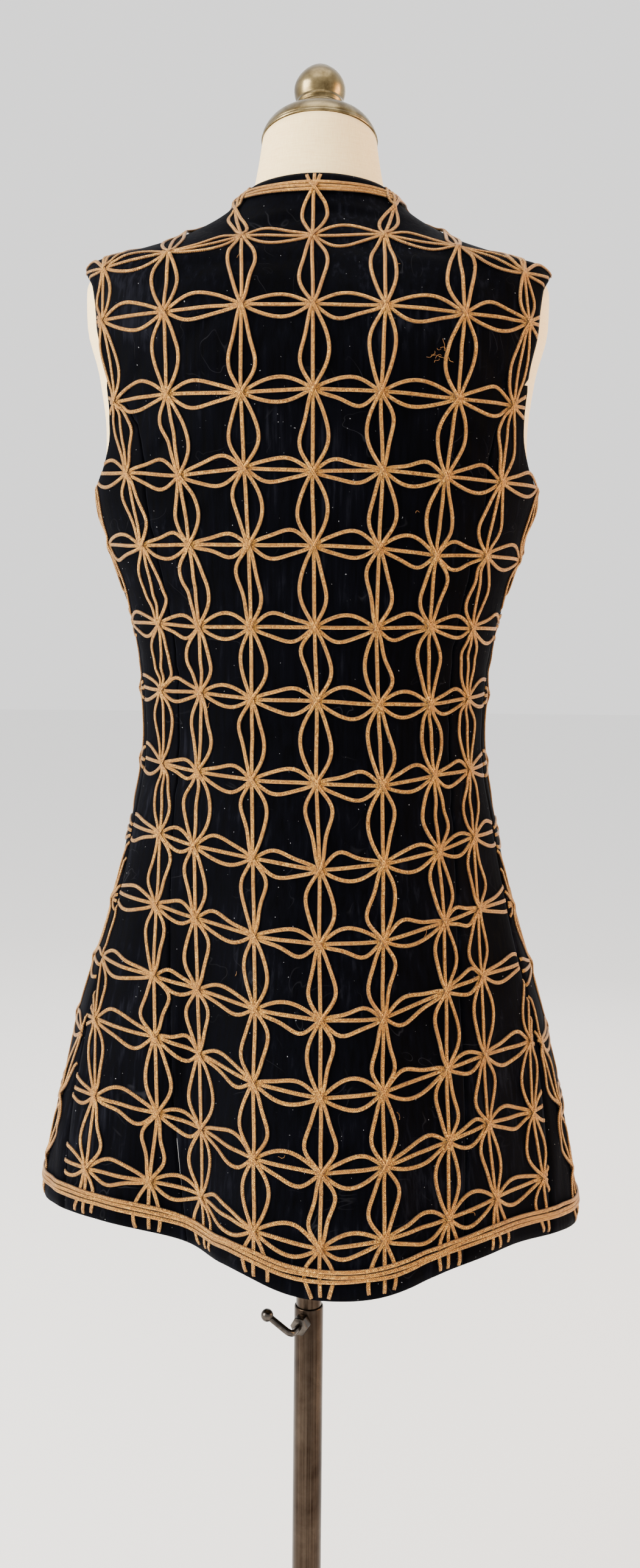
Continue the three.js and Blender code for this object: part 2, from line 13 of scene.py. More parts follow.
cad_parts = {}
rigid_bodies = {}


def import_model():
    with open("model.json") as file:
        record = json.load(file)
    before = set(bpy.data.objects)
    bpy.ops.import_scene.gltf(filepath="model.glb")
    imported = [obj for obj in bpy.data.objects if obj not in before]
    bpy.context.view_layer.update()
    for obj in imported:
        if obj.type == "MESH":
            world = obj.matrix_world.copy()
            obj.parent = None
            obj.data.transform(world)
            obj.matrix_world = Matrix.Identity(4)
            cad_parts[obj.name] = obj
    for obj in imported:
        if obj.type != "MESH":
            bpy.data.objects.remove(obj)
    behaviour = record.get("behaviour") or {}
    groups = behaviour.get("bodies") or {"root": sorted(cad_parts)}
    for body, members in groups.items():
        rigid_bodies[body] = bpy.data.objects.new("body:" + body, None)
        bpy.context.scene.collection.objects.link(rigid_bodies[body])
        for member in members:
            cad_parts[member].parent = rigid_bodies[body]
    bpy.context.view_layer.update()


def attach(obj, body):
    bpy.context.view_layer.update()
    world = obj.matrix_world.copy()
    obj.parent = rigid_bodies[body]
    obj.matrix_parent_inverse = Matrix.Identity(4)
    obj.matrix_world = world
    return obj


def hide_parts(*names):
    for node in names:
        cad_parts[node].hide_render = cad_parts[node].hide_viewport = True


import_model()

MM = 0.001
chance = np.random.default_rng(7)

# ---------------------------------------------------------------- the vest's cut
HEM_LEVEL = 521.0
NECK_LEVEL = 1409.0
TIP_LEVEL = 1318.0
ARM_LEVEL = 1142.0
FLARE_TOP = 900.0
SIDE_HEM_RISE = 7.0
HEM_LEAN = 9.0                  # the hem is a little lower on the wearer's right
FRONT_HEM_RISE = 9.0            # the hem is higher at the front opening
NECKLINE_DROP_LEVEL = 1282.0    # where the neckline meets the front edges
SEAM_GAP = 0.3
PART_GAP = 0.3                  # between parts that are screwed or set together
CLOTH = 1.7

RING_COLUMNS = ("level", "half", "back", "front", "power", "centre", "lift", "drop")
RINGS = [
    (505, 234, 190, 152, 1.85, 15, 0, 0),
    (600, 220, 171, 146, 1.9, 12, 0, 0),
    (700, 198, 149, 139, 2.0, 9, 0, 0),
    (780, 175, 130, 130, 2.05, 6, 0, 0),
    (860, 157, 112, 118, 2.1, 3, 0, 0),
    (937, 146, 98, 104, 2.15, 0, 0, 0),
    (990, 149, 98, 108, 2.2, 0, 0, 0),
    (1042, 160, 102, 117, 2.25, 0, 0, 0),
    (1095, 177, 106, 125, 2.3, 0, 0, 0),
    (1142, 189, 109, 127, 2.35, 0, 0, 0),
    (1188, 185, 112, 121, 2.4, 0, 0, 0),
    (1235, 191, 113, 112, 2.45, 0, 3, 0),
    (1272, 202, 110, 101, 2.5, 2, 8, 4),
    (1300, 204, 103, 91, 2.5, 4, 14, 10),
    (1318, 198, 95, 83, 2.45, 6, 15, 14),
    (1329, 181, 90, 78, 2.4, 7.5, 11, 16),
    (1340, 158, 84, 72, 2.3, 9, 7, 18),
    (1360, 118, 73, 63, 2.15, 12, 2, 22),
    (1385, 81, 62, 57, 2.05, 14, -1, 26),
    (1409, 62, 56, 55, 2.0, 16, -4, 30),
]

# Folds of the skirt: degrees from the centre back, width in degrees, how far out at the hem.
FOLDS = [
    (16, 12, 8), (-38, 16, -40), (-72, 12, 8), (33, 9, -2), (58, 10, -6), (79, 8, 3),
    (118, 11, -8), (142, 9, 5), (-116, 10, -6), (-140, 10, 6), (-163, 8, -4), (164, 8, -3),
]

# Where the hem hangs higher than level: degrees, width in degrees, how far up.
HEM_SWAGS = [(-60, 28, 16), (-18, 12, 10), (49, 30, 19)]

# Seams as a share of the half width, and armhole edges as degrees from the centre back.
BACK_SEAM = [(505, 0.52), (700, 0.62), (850, 0.73), (937, 0.76), (1060, 0.745), (1142, 0.735),
             (1190, 0.79), (1232, 0.925)]
SIDE_SEAM = [(505, 0.86), (700, 0.93), (850, 0.965), (937, 0.975), (1060, 0.987), (1142, 0.995)]
BACK_ARMHOLE = [(1142, 84), (1160, 76.5), (1188, 73.5), (1232, 72.5), (1272, 72.5), (1296, 74.5),
                (1309, 80), (1318, 90)]
FRONT_ARMHOLE = [(1142, 84), (1160, 98), (1188, 107), (1232, 110), (1272, 107), (1296, 101),
                 (1309, 96), (1318, 90)]
FRONT_GAP = [(505, 24), (900, 4), (1142, 3), (1409, 3)]


def smooth(table, at, column=1):
    """Value of a table's column at a level: a cubic that never overshoots."""
    xs = np.array([row[0] for row in table], float)
    ys = np.array([row[column] for row in table], float)
    at = np.clip(at, xs[0], xs[-1])
    span = np.diff(xs)
    slope = np.diff(ys) / span
    tangent = np.zeros_like(ys)
    tangent[0] = slope[0]
    tangent[-1] = slope[-1]
    for i in range(1, len(ys) - 1):
        if slope[i - 1] * slope[i] > 0:
            tangent[i] = 2 * slope[i - 1] * slope[i] / (slope[i - 1] + slope[i])
    k = np.clip(np.searchsorted(xs, at, side="right") - 1, 0, len(span) - 1)
    s = (at - xs[k]) / span[k]
    s2 = s * s
    s3 = s2 * s
    return ((2 * s3 - 3 * s2 + 1) * ys[k] + (s3 - 2 * s2 + s) * span[k] * tangent[k]
            + (3 * s2 - 2 * s3) * ys[k + 1] + (s3 - s2) * span[k] * tangent[k + 1])


FINE_LEVELS = np.arange(RINGS[0][0], RINGS[-1][0] + 0.5, 1.0)
FINE_RINGS = {name: smooth(RINGS, FINE_LEVELS, i) for i, name in enumerate(RING_COLUMNS) if i}


def ring_value(name, level):
    return np.interp(level, FINE_LEVELS, FINE_RINGS[name])


def fold_out(level, angle):
    hang = np.clip((FLARE_TOP - level) / (FLARE_TOP - HEM_LEVEL), 0, None)
    out = 0.0
    for at, wide, reach in FOLDS:
        out = out + reach * np.exp(-(((angle - at) / wide) ** 2))
    return out * hang ** 1.4


def face_point(level, angle):
    """Point of the vest's outer face."""
    level, angle = np.broadcast_arrays(np.asarray(level, float), np.asarray(angle, float))
    c = np.cos(np.radians(angle))
    s = np.sin(np.radians(angle))
    power = ring_value("power", level)
    depth = np.abs(c) / np.where(c > 0, ring_value("back", level), ring_value("front", level))
    across = np.abs(s) / ring_value("half", level)
    r = (across ** power + depth ** power) ** (-1 / power) + fold_out(level, angle)
    drop = np.where(c > 0, 0, ring_value("drop", level) * c * c)
    height = level + ring_value("lift", level) * s * s - drop
    return np.stack([r * s, ring_value("centre", level) - r * c, height], -1)


def face_normal(level, angle):
    along = face_point(level, angle + 0.2) - face_point(level, angle - 0.2)
    up = face_point(level + 0.5, angle) - face_point(level - 0.5, angle)
    normal = np.cross(along, up)
    return normal / np.linalg.norm(normal, axis=-1, keepdims=True)


def mm_per_degree(level, angle):
    step = face_point(level, angle + 0.5) - face_point(level, angle - 0.5)
    return np.linalg.norm(step, axis=-1)


def mm_per_level(level, angle):
    step = face_point(level + 0.5, angle) - face_point(level - 0.5, angle)
    return np.linalg.norm(step, axis=-1)


# Distance round a ring from the centre back, and the way back from it to an angle.
LEVEL_STEP = 4.0
ARC_STEP = 2.0
ANGLE_STEP = 1.0
ARC_LEVELS = np.arange(505.0, 1410.0, LEVEL_STEP)
ARC_ANGLES = np.arange(-180.0, 180.5, ANGLE_STEP)
ARC_STEPS = np.arange(-620.0, 621.0, ARC_STEP)


def arc_tables():
    levels, angles = np.meshgrid(ARC_LEVELS, ARC_ANGLES, indexing="ij")
    steps = np.linalg.norm(np.diff(face_point(levels, angles), axis=1), axis=-1)
    arcs = np.concatenate([np.zeros((len(ARC_LEVELS), 1)), np.cumsum(steps, axis=1)], axis=1)
    arcs = arcs - arcs[:, [180]]
    back = np.array([np.interp(ARC_STEPS, row, ARC_ANGLES) for row in arcs])
    return arcs, back


ARCS, ANGLE_OF_ARC = arc_tables()


def look_up(table, level, x, x0, dx):
    """Value of a table between its levels and between its steps from x0."""
    j = np.clip((level - ARC_LEVELS[0]) / LEVEL_STEP, 0, len(ARC_LEVELS) - 1.001)
    i = np.clip((x - x0) / dx, 0, table.shape[1] - 1.001)
    j0 = j.astype(int)
    i0 = i.astype(int)
    fj = j - j0
    fi = i - i0
    low = table[j0, i0] * (1 - fi) + table[j0, i0 + 1] * fi
    high = table[j0 + 1, i0] * (1 - fi) + table[j0 + 1, i0 + 1] * fi
    return low * (1 - fj) + high * fj


def angle_at(level, arc):
    level, arc = np.broadcast_arrays(np.asarray(level, float), np.asarray(arc, float))
    return look_up(ANGLE_OF_ARC, level, arc, ARC_STEPS[0], ARC_STEP)


def arc_at(level, angle):
    level, angle = np.broadcast_arrays(np.asarray(level, float), np.asarray(angle, float))
    return look_up(ARCS, level, angle, ARC_ANGLES[0], ANGLE_STEP)


# ---------------------------------------------------------------- seams and edges
def share_angle(level, share):
    power = ring_value("power", level)
    depth = (1 - share ** power) ** (1 / power) * ring_value("back", level)
    return np.degrees(np.arctan2(share * ring_value("half", level), depth))


def back_seam(level):
    return share_angle(level, smooth(BACK_SEAM, level))


def side_seam(level):
    return share_angle(level, smooth(SIDE_SEAM, level))


def back_edge(level):
    """Outer edge of the side back: side seam, then armhole."""
    return np.where(level < ARM_LEVEL, side_seam(level), smooth(BACK_ARMHOLE, level))


def centre_edge(level):
    """Outer edge of the whole back above the side back's tip: armhole, then shoulder seam."""
    return np.where(level < TIP_LEVEL, smooth(BACK_ARMHOLE, level), 90.0)


def front_side_edge(level):
    armhole = np.where(level < TIP_LEVEL, smooth(FRONT_ARMHOLE, level), 90.0)
    return np.where(level < ARM_LEVEL, side_seam(level), armhole)


def front_opening(level):
    return 180 - smooth(FRONT_GAP, level) / mm_per_degree(level, 178.0)


def row_level(row, angle):
    """A row of the cloth follows the hem low down, and is level from the waist up."""
    s = np.sin(np.radians(angle))
    front = np.cos(np.radians(angle)) < 0
    rise = SIDE_HEM_RISE * s * s - HEM_LEAN * s
    rise = rise + np.where(front, FRONT_HEM_RISE * (1 - s * s), 0)
    for at, wide, up in HEM_SWAGS:
        rise = rise + up * np.exp(-(((angle - at) / wide) ** 2))
    follow = np.clip((FLARE_TOP - row) / (FLARE_TOP - HEM_LEVEL), 0, None)
    return row + rise * follow


def front_place(row, part, sign):
    """Level and angle on a front; part runs from the side seam (0) to the opening (1)."""
    rise = np.clip((row - ARM_LEVEL) / (NECK_LEVEL - ARM_LEVEL), 0, None)
    dip = (NECK_LEVEL - NECKLINE_DROP_LEVEL) * rise
    start = front_side_edge(row)
    end = front_opening(row - dip)
    angle = start + (end - start) * part
    ease = np.sin(part * np.pi / 2) ** 1.2
    return row_level(row - dip * ease, sign * angle), sign * angle


NECKLINE_PARTS = np.linspace(0, 1, 120)
NECKLINE = front_place(np.full(120, NECK_LEVEL), NECKLINE_PARTS, 1)


def neckline_angle(level):
    """Angle of the front neckline at a level, 180 below it."""
    order = np.argsort(NECKLINE[0])
    found = np.interp(level, NECKLINE[0][order], NECKLINE[1][order])
    return np.where(level < NECKLINE[0].min(), 180.0, found)


# ---------------------------------------------------------------- creases of the cloth
# Level and distance from the centre back, length, width and depth in mm, and the slope of
# the crease in degrees from level, rising to the wearer's right.
CREASES = [
    (1218, -158, 34, 5, 1.6, 50), (1240, -148, 30, 4, 1.3, 55), (1196, -150, 26, 4, 1.2, 58),
    (1172, -128, 30, 6, 1.5, 47), (1228, -90, 34, 5, 1.1, 24), (1262, -96, 30, 5, 1.2, 40),
    (1135, -98, 28, 5, 1.1, 52), (1300, -120, 40, 7, 1.8, 28), (1320, -60, 46, 6, 1.5, 8),
    (1338, 40, 44, 6, 1.6, -10), (1362, -34, 34, 5, 1.6, 14), (1372, 22, 38, 4, 1.3, -6),
    (1318, 118, 38, 6, 1.7, -30), (1290, 150, 34, 6, 1.8, -44), (1262, 100, 30, 5, 1.2, -30),
    (1232, 152, 32, 5, 1.6, -56), (1206, 160, 28, 5, 1.4, -62), (1180, 130, 30, 6, 1.3, -48),
    (1140, 104, 34, 5, 1.2, -40), (1100, -130, 36, 6, 1.6, 30), (1082, 128, 38, 6, 1.7, -26),
    (1052, -118, 32, 5, 1.3, 18), (1010, 120, 36, 6, 1.6, -14), (985, -126, 38, 6, 1.8, 10),
    (958, 112, 40, 6, 1.5, 6), (940, -40, 52, 8, 1.2, 4), (926, 36, 48, 7, 1.1, -6),
    (902, -118, 40, 7, 1.7, -12), (880, 118, 40, 7, 1.5, 16), (850, -70, 44, 8, 1.1, -30),
    (826, 84, 46, 8, 1.2, 34), (760, -150, 60, 8, 1.5, 78), (742, 122, 62, 9, 1.4, -80),
    (690, -108, 56, 7, 1.4, 84), (668, 24, 60, 9, 1.2, -86), (640, 190, 54, 8, 1.5, -76),
    (622, -176, 58, 8, 1.6, 72), (600, -60, 50, 7, 1.2, 80), (584, 88, 46, 7, 1.3, -82),
    (1230, 300, 40, 7, 1.7, 40), (1196, 262, 34, 6, 1.5, 58), (1262, 262, 32, 6, 1.4, 34),
    (1120, 250, 44, 8, 1.7, 24), (1060, 246, 40, 7, 1.5, 12), (984, 236, 42, 7, 1.7, -6),
    (930, 262, 46, 8, 1.3, -10), (860, 244, 44, 8, 1.4, -24), (740, 300, 58, 9, 1.4, 80),
    (640, 330, 56, 8, 1.3, -84), (600, 262, 52, 8, 1.5, 78),
    (1226, -300, 38, 7, 1.6, -42), (1190, -264, 34, 6, 1.5, -56), (1270, -258, 32, 6, 1.3, -32),
    (1112, -252, 42, 8, 1.6, -20), (1050, -244, 40, 7, 1.4, -14), (976, -240, 42, 7, 1.6, 8),
    (926, -266, 46, 8, 1.2, 8), (850, -248, 44, 8, 1.5, 22), (730, -296, 58, 9, 1.4, -82),
    (650, -336, 56, 8, 1.2, 84), (596, -258, 52, 8, 1.4, -80),
]


def relief(level, angle):
    """How far the creased cloth lies above the vest's face, in mm."""
    arc = arc_at(level, angle)
    out = 0.35 * np.sin(level / 23.0 + arc / 61.0) * np.sin(arc / 31.0 - level / 83.0)
    for at, along, length, wide, deep, slope in CREASES:
        dx = arc - along
        dz = level - at
        c = math.cos(math.radians(slope))
        s = math.sin(math.radians(slope))
        u = (dx * c + dz * s) / length
        v = (dz * c - dx * s) / wide
        trough = -np.exp(-v * v) + 0.75 * np.exp(-((v - 1.7) ** 2)) + 0.4 * np.exp(-((v + 2) ** 2))
        out = out + deep * trough * np.exp(-u * u)
    return out


def cloth_point(level, angle, above=0.0):
    lift = relief(level, angle) + above
    return face_point(level, angle) + face_normal(level, angle) * lift[..., None]


# ---------------------------------------------------------------- mesh helpers
def deselect():
    if bpy.context.object and bpy.context.object.mode != "OBJECT":
        bpy.ops.object.mode_set(mode="OBJECT")
    for obj in bpy.context.view_layer.objects:
        obj.select_set(False)


def piece_from(name, points, faces, material, body, uvs=None):
    """A mesh piece in metres from points in millimetres."""
    mesh = bpy.data.meshes.new(name)
    mesh.from_pydata((np.asarray(points) * MM).tolist(), [], faces)
    if uvs is not None:
        layer = mesh.uv_layers.new(name="UVMap")
        layer.data.foreach_set("uv", np.asarray(uvs, np.float32).ravel())
    mesh.materials.append(material)
    mesh.update()
    obj = bpy.data.objects.new(name, mesh)
    bpy.context.scene.collection.objects.link(obj)
    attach(obj, body)
    return obj


def smooth_faces(obj):
    values = np.ones(len(obj.data.polygons), dtype=bool)
    obj.data.polygons.foreach_set("use_smooth", values)
    obj.data.update()


def apply_modifiers(obj):
    deselect()
    obj.select_set(True)
    bpy.context.view_layer.objects.active = obj
    for modifier in list(obj.modifiers):
        bpy.ops.object.modifier_apply(modifier=modifier.name)
    obj.select_set(False)


# ---------------------------------------------------------------- materials
def new_material(name):
    material = bpy.data.materials.new(name)
    material.use_nodes = True
    tree = material.node_tree
    return material, tree, tree.nodes["Principled BSDF"]


def noise(tree, coords, scale, detail=3.0, roughness=0.55, distortion=0.0):
    made = tree.nodes.new("ShaderNodeTexNoise")
    made.inputs["Scale"].default_value = scale
    made.inputs["Detail"].default_value = detail
    made.inputs["Roughness"].default_value = roughness
    made.inputs["Distortion"].default_value = distortion
    tree.links.new(coords, made.inputs["Vector"])
    return made.outputs["Fac"]


def stretched(tree, coords, scale):
    made = tree.nodes.new("ShaderNodeMapping")
    made.inputs["Scale"].default_value = scale
    tree.links.new(coords, made.inputs["Vector"])
    return made.outputs["Vector"]


def ramp(tree, value, stops):
    made = tree.nodes.new("ShaderNodeValToRGB")
    elements = made.color_ramp.elements
    while len(elements) < len(stops):
        elements.new(0.5)
    for element, (at, colour) in zip(elements, stops):
        element.position = at
        element.color = (*colour, 1)
    tree.links.new(value, made.inputs["Fac"])
    return made.outputs["Color"]


def maths(tree, operation, first, second=None, third=None):
    made = tree.nodes.new("ShaderNodeMath")
    made.operation = operation
    for socket, value in zip(made.inputs, (first, second, third)):
        if value is None:
            continue
        if isinstance(value, (int, float)):
            socket.default_value = value
        else:
            tree.links.new(value, socket)
    return made.outputs[0]


def mix_colour(tree, factor, first, second):
    made = tree.nodes.new("ShaderNodeMix")
    made.data_type = "RGBA"
    for name, value in (("Factor", factor), ("A", first), ("B", second)):
        sockets = [s for s in made.inputs if s.name == name and s.enabled]
        if isinstance(value, tuple):
            sockets[-1].default_value = (*value, 1)
        else:
            tree.links.new(value, sockets[-1])
    return [s for s in made.outputs if s.enabled][0]


def bump(tree, shader, height, strength, distance):
    made = tree.nodes.new("ShaderNodeBump")
    made.inputs["Strength"].default_value = strength
    made.inputs["Distance"].default_value = distance
    tree.links.new(height, made.inputs["Height"])
    tree.links.new(made.outputs["Normal"], shader.inputs["Normal"])


def object_coords(tree):
    return tree.nodes.new("ShaderNodeTexCoord").outputs["Object"]


def uv_coords(tree):
    return tree.nodes.new("ShaderNodeTexCoord").outputs["UV"]


def velvet_material():
    """Black cotton velvet: short nap, brushed streaks, thin lines of worn nap painted lighter as crease
    sheen, and a little lint.
    """
    material, tree, shader = new_material("black_velvet")
    coords = object_coords(tree)
    patches = noise(tree, coords, 9.0, 4.0, 0.6, 0.4)
    streaks = noise(tree, stretched(tree, coords, (260, 260, 14)), 1.0, 3.0)
    nap = maths(tree, "MULTIPLY", patches, streaks)
    colour = ramp(tree, nap, [
        (0.14, (0.0003, 0.0003, 0.0006)), (0.3, (0.001, 0.0011, 0.0021)),
        (0.46, (0.0055, 0.0058, 0.0088)),
    ])
    # Thin light lines of worn nap, painted lighter with the sheen that creases catch.
    veins = noise(tree, coords, 15.0, 2.0, 0.5, 1.6)
    line = maths(tree, "ABSOLUTE", maths(tree, "SUBTRACT", veins, 0.5))
    thin = ramp(tree, line, [(0.0, (1, 1, 1)), (0.006, (0, 0, 0))])
    where = ramp(tree, noise(tree, coords, 21.0, 2.0), [(0.52, (0, 0, 0)), (0.68, (1, 1, 1))])
    rubbed_nap_and_crease_sheen = maths(tree, "MULTIPLY", thin, where)
    colour = mix_colour(tree, maths(tree, "MULTIPLY", rubbed_nap_and_crease_sheen, 0.12), colour, (0.08, 0.08, 0.095))
    specks = noise(tree, coords, 640.0, 0.0)
    lint = ramp(tree, specks, [(0.872, (0, 0, 0)), (0.885, (1, 1, 1))])
    colour = mix_colour(tree, maths(tree, "MULTIPLY", lint, 0.3), colour, (0.55, 0.56, 0.6))
    tree.links.new(colour, shader.inputs["Base Color"])
    rough = ramp(tree, streaks, [(0.3, (0.62, 0.62, 0.62)), (0.7, (0.82, 0.82, 0.82))])
    tree.links.new(rough, shader.inputs["Roughness"])
    shader.inputs["Specular IOR Level"].default_value = 0.015
    shader.inputs["Sheen Weight"].default_value = 0.018
    shader.inputs["Sheen Roughness"].default_value = 0.32
    shader.inputs["Sheen Tint"].default_value = (0.55, 0.6, 0.78, 1)
    fine = noise(tree, coords, 1500.0, 1.0)
    bump(tree, shader, maths(tree, "ADD", fine, maths(tree, "MULTIPLY", streaks, 2.0)), 0.35, 0.0004)
    return material


def gold_cord_material():
    """Gold thread plaited in a herringbone; U runs across the cord and V along it."""
    material, tree, shader = new_material("gold_cord")
    split = tree.nodes.new("ShaderNodeSeparateXYZ")
    tree.links.new(uv_coords(tree), split.inputs[0])
    across = maths(tree, "ABSOLUTE", maths(tree, "SUBTRACT", split.outputs["X"], 0.5))
    slant = maths(tree, "MULTIPLY_ADD", across, 3.2, split.outputs["Y"])
    ply = maths(tree, "SINE", maths(tree, "MULTIPLY", slant, 2 * math.pi))
    height = maths(tree, "MULTIPLY_ADD", ply, 0.5, 0.5)
    groove = ramp(tree, across, [(0.0, (0, 0, 0)), (0.10, (1, 1, 1))])
    height = maths(tree, "MULTIPLY", height, maths(tree, "MULTIPLY_ADD", groove, 0.7, 0.3))
    coords = object_coords(tree)
    threads = noise(tree, coords, 2200.0, 1.0)
    tone = noise(tree, coords, 34.0, 3.0)
    # Painted shade and highlight: the colour follows the plies' height, dark in the grooves and down
    # the cord's middle, light on the crowns.
    grain = maths(tree, "MULTIPLY_ADD", threads, 0.5, maths(tree, "MULTIPLY", height, 0.75))
    colour = ramp(tree, grain, [
        (0.2, (0.03, 0.008, 0.001)), (0.42, (0.17, 0.055, 0.003)), (0.66, (0.37, 0.138, 0.007)),
        (0.9, (0.86, 0.41, 0.04)),
    ])
    glints = ramp(tree, noise(tree, coords, 850.0, 1.0), [(0.54, (0, 0, 0)), (0.66, (1, 1, 1))])
    colour = mix_colour(tree, maths(tree, "MULTIPLY", glints, 0.6), colour, (1.0, 0.6, 0.12))
    shadows = ramp(tree, noise(tree, coords, 620.0, 1.0), [(0.36, (1, 1, 1)), (0.47, (0, 0, 0))])
    colour = mix_colour(tree, maths(tree, "MULTIPLY", shadows, 0.75), colour, (0.07, 0.02, 0.001))
    worn = ramp(tree, tone, [(0.38, (0.0, 0.0, 0.0)), (0.72, (0.5, 0.5, 0.5))])
    colour = mix_colour(tree, worn, colour, (0.24, 0.085, 0.01))
    # Painted shade: the colour darkens towards the cord's sides.
    edge = ramp(tree, across, [(0.3, (0, 0, 0)), (0.46, (0.85, 0.85, 0.85))])
    colour = mix_colour(tree, edge, colour, (0.06, 0.018, 0.002))
    tree.links.new(colour, shader.inputs["Base Color"])
    shader.inputs["Metallic"].default_value = 0.6
    rough = ramp(tree, threads, [(0.3, (0.34, 0.34, 0.34)), (0.75, (0.55, 0.55, 0.55))])
    tree.links.new(rough, shader.inputs["Roughness"])
    shader.inputs["Sheen Weight"].default_value = 0.1
    bump(tree, shader, maths(tree, "MULTIPLY_ADD", threads, 0.4, height), 0.9, 0.0006)
    return material


def linen_material():
    """Plain-woven natural linen over the form."""
    material, tree, shader = new_material("cream_linen")
    coords = object_coords(tree)
    warp = noise(tree, stretched(tree, coords, (1500, 1500, 60)), 1.0, 2.0)
    weft = noise(tree, stretched(tree, coords, (70, 70, 1500)), 1.0, 2.0)
    weave = maths(tree, "MULTIPLY", maths(tree, "ADD", warp, weft), 0.5)
    tone = noise(tree, coords, 12.0, 3.0)
    colour = ramp(tree, weave, [(0.3, (0.82, 0.55, 0.24)), (0.7, (0.97, 0.75, 0.38))])
    colour = mix_colour(tree, maths(tree, "MULTIPLY", tone, 0.25), colour, (0.98, 0.79, 0.44))
    tree.links.new(colour, shader.inputs["Base Color"])
    shader.inputs["Roughness"].default_value = 0.86
    shader.inputs["Sheen Weight"].default_value = 0.15
    bump(tree, shader, weave, 0.5, 0.0005)
    return material


def metal_material(name, dark, light, patch_scale, roughness, grain):
    """Plated or patinated metal with uneven tone; grain stretches the marks."""
    material, tree, shader = new_material(name)
    coords = object_coords(tree)
    patches = noise(tree, coords, patch_scale, 5.0, 0.62, 0.3)
    marks = noise(tree, stretched(tree, coords, grain), 1.0, 3.0)
    mixed = maths(tree, "MULTIPLY_ADD", marks, 0.4, maths(tree, "MULTIPLY", patches, 0.6))
    tree.links.new(ramp(tree, mixed, [(0.36, dark), (0.62, light)]), shader.inputs["Base Color"])
    low = tuple(roughness[0] for _ in range(3))
    high = tuple(roughness[1] for _ in range(3))
    tree.links.new(ramp(tree, mixed, [(0.35, high), (0.65, low)]), shader.inputs["Roughness"])
    shader.inputs["Metallic"].default_value = 1.0
    bump(tree, shader, marks, 0.12, 0.0003)
    return material


velvet = velvet_material()
gold = gold_cord_material()
linen = linen_material()
aged_brass = metal_material("aged_brass", (0.075, 0.052, 0.022), (0.25, 0.19, 0.095), 60, (0.2, 0.36),
                            (90, 90, 90))
bronzed = metal_material("bronzed_steel", (0.014, 0.008, 0.005), (0.055, 0.04, 0.029), 24, (0.24, 0.36),
                         (700, 700, 8))
gunmetal = metal_material("gunmetal", (0.03, 0.026, 0.023), (0.085, 0.074, 0.064), 90, (0.22, 0.36),
                          (200, 200, 200))
enamel = metal_material("base_enamel", (0.035, 0.031, 0.027), (0.07, 0.063, 0.055), 40, (0.36, 0.5),
                        (120, 120, 120))


# ---------------------------------------------------------------- the velvet panels
def skirt_and_body_rows():
    return np.concatenate([np.arange(HEM_LEVEL, 1140.0, 6.0), np.arange(1142.0, 1229.0, 5.0)])


def all_rows():
    return np.concatenate([
        skirt_and_body_rows(), np.arange(1232.0, 1300.0, 5.0), np.arange(1300.0, 1318.0, 3.0),
        np.arange(1318.0, NECK_LEVEL - 1.0, 2.2), [NECK_LEVEL],
    ])


def toward_sides(u):
    """Closer columns towards a panel's sides."""
    return 0.5 * u + 0.5 * np.sin(u * np.pi / 2)


GRID = 6.0                      # about one step of a panel's grid
EDGE_SINK = 0.9
EDGE_ROLL = 3.0


def edge_roll(rows, columns):
    """The turned edge of a panel: it sinks a little towards the seam."""
    across = np.minimum(np.arange(columns), np.arange(columns)[::-1])[None, :]
    up = np.minimum(np.arange(rows), np.arange(rows)[::-1])[:, None]
    near = np.minimum(across * GRID, up * GRID)
    return -EDGE_SINK * np.exp(-((near / EDGE_ROLL) ** 2))


def panel(name, level, angle):
    """A sheet of velvet over a grid of levels and angles, its edges turned down."""
    rows, columns = level.shape
    points = cloth_point(level, angle, edge_roll(rows, columns)).reshape(-1, 3)
    index = np.arange(rows * columns).reshape(rows, columns)
    quads = np.stack([index[:-1, :-1], index[:-1, 1:], index[1:, 1:], index[1:, :-1]], -1)
    sheet = piece_from("velvet_" + name, points, quads.reshape(-1, 4).tolist(), velvet, "form")
    wall = sheet.modifiers.new("wall", "SOLIDIFY")
    wall.thickness = CLOTH * MM
    wall.offset = -1
    apply_modifiers(sheet)
    smooth_faces(sheet)
    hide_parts(name)


def back_centre():
    rows = all_rows()[:, None]
    edge = np.where(rows <= 1228, back_seam(rows), centre_edge(rows))
    edge = edge - SEAM_GAP / 2 / mm_per_degree(rows, edge)
    angle = toward_sides(np.linspace(-1, 1, 71))[None, :] * edge
    level = row_level(np.broadcast_to(rows, angle.shape), angle)
    panel("back_centre", level, angle)


def back_side(name, sign):
    rows = skirt_and_body_rows()[:, None]
    inner = back_seam(rows) + SEAM_GAP / 2 / mm_per_degree(rows, 60.0)
    outer = back_edge(rows) - SEAM_GAP / 2 / mm_per_degree(rows, 75.0)
    part = np.linspace(0, 1, 22)[None, :]
    if sign < 0:
        part = part[:, ::-1]
    angle = sign * (inner + (outer - inner) * part)
    level = row_level(np.broadcast_to(rows, angle.shape), angle)
    panel(name, level, angle)


def front(name, sign):
    rows = all_rows()[:, None]
    part = np.linspace(0, 1, 48)[None, :]
    if sign < 0:
        part = part[:, ::-1]
    level, angle = front_place(np.broadcast_to(rows, (len(rows), part.size)), part, sign)
    angle = angle + sign * (1 - part) * SEAM_GAP / 2 / mm_per_degree(level, 90.0)
    panel(name, level, angle)


back_centre()
back_side("back_side_right", 1)
back_side("back_side_left", -1)
front("front_right", 1)
front("front_left", -1)

# ---------------------------------------------------------------- the gold cord
CORD_STEP = 3.2
CORD_PITCH = 1.55               # one ply of the plait
CORD_RISE = 0.12
# Section of the cord: across and up, two rounded rows of plies with a groove between them.
CORD_SECTION = [(-1.65, 0.1), (-1.46, 0.88), (-0.82, 1.34), (0.0, 1.02), (0.82, 1.34),
                (1.46, 0.88), (1.65, 0.1), (0.0, -0.3)]
CORD_WIDTH = 3.3


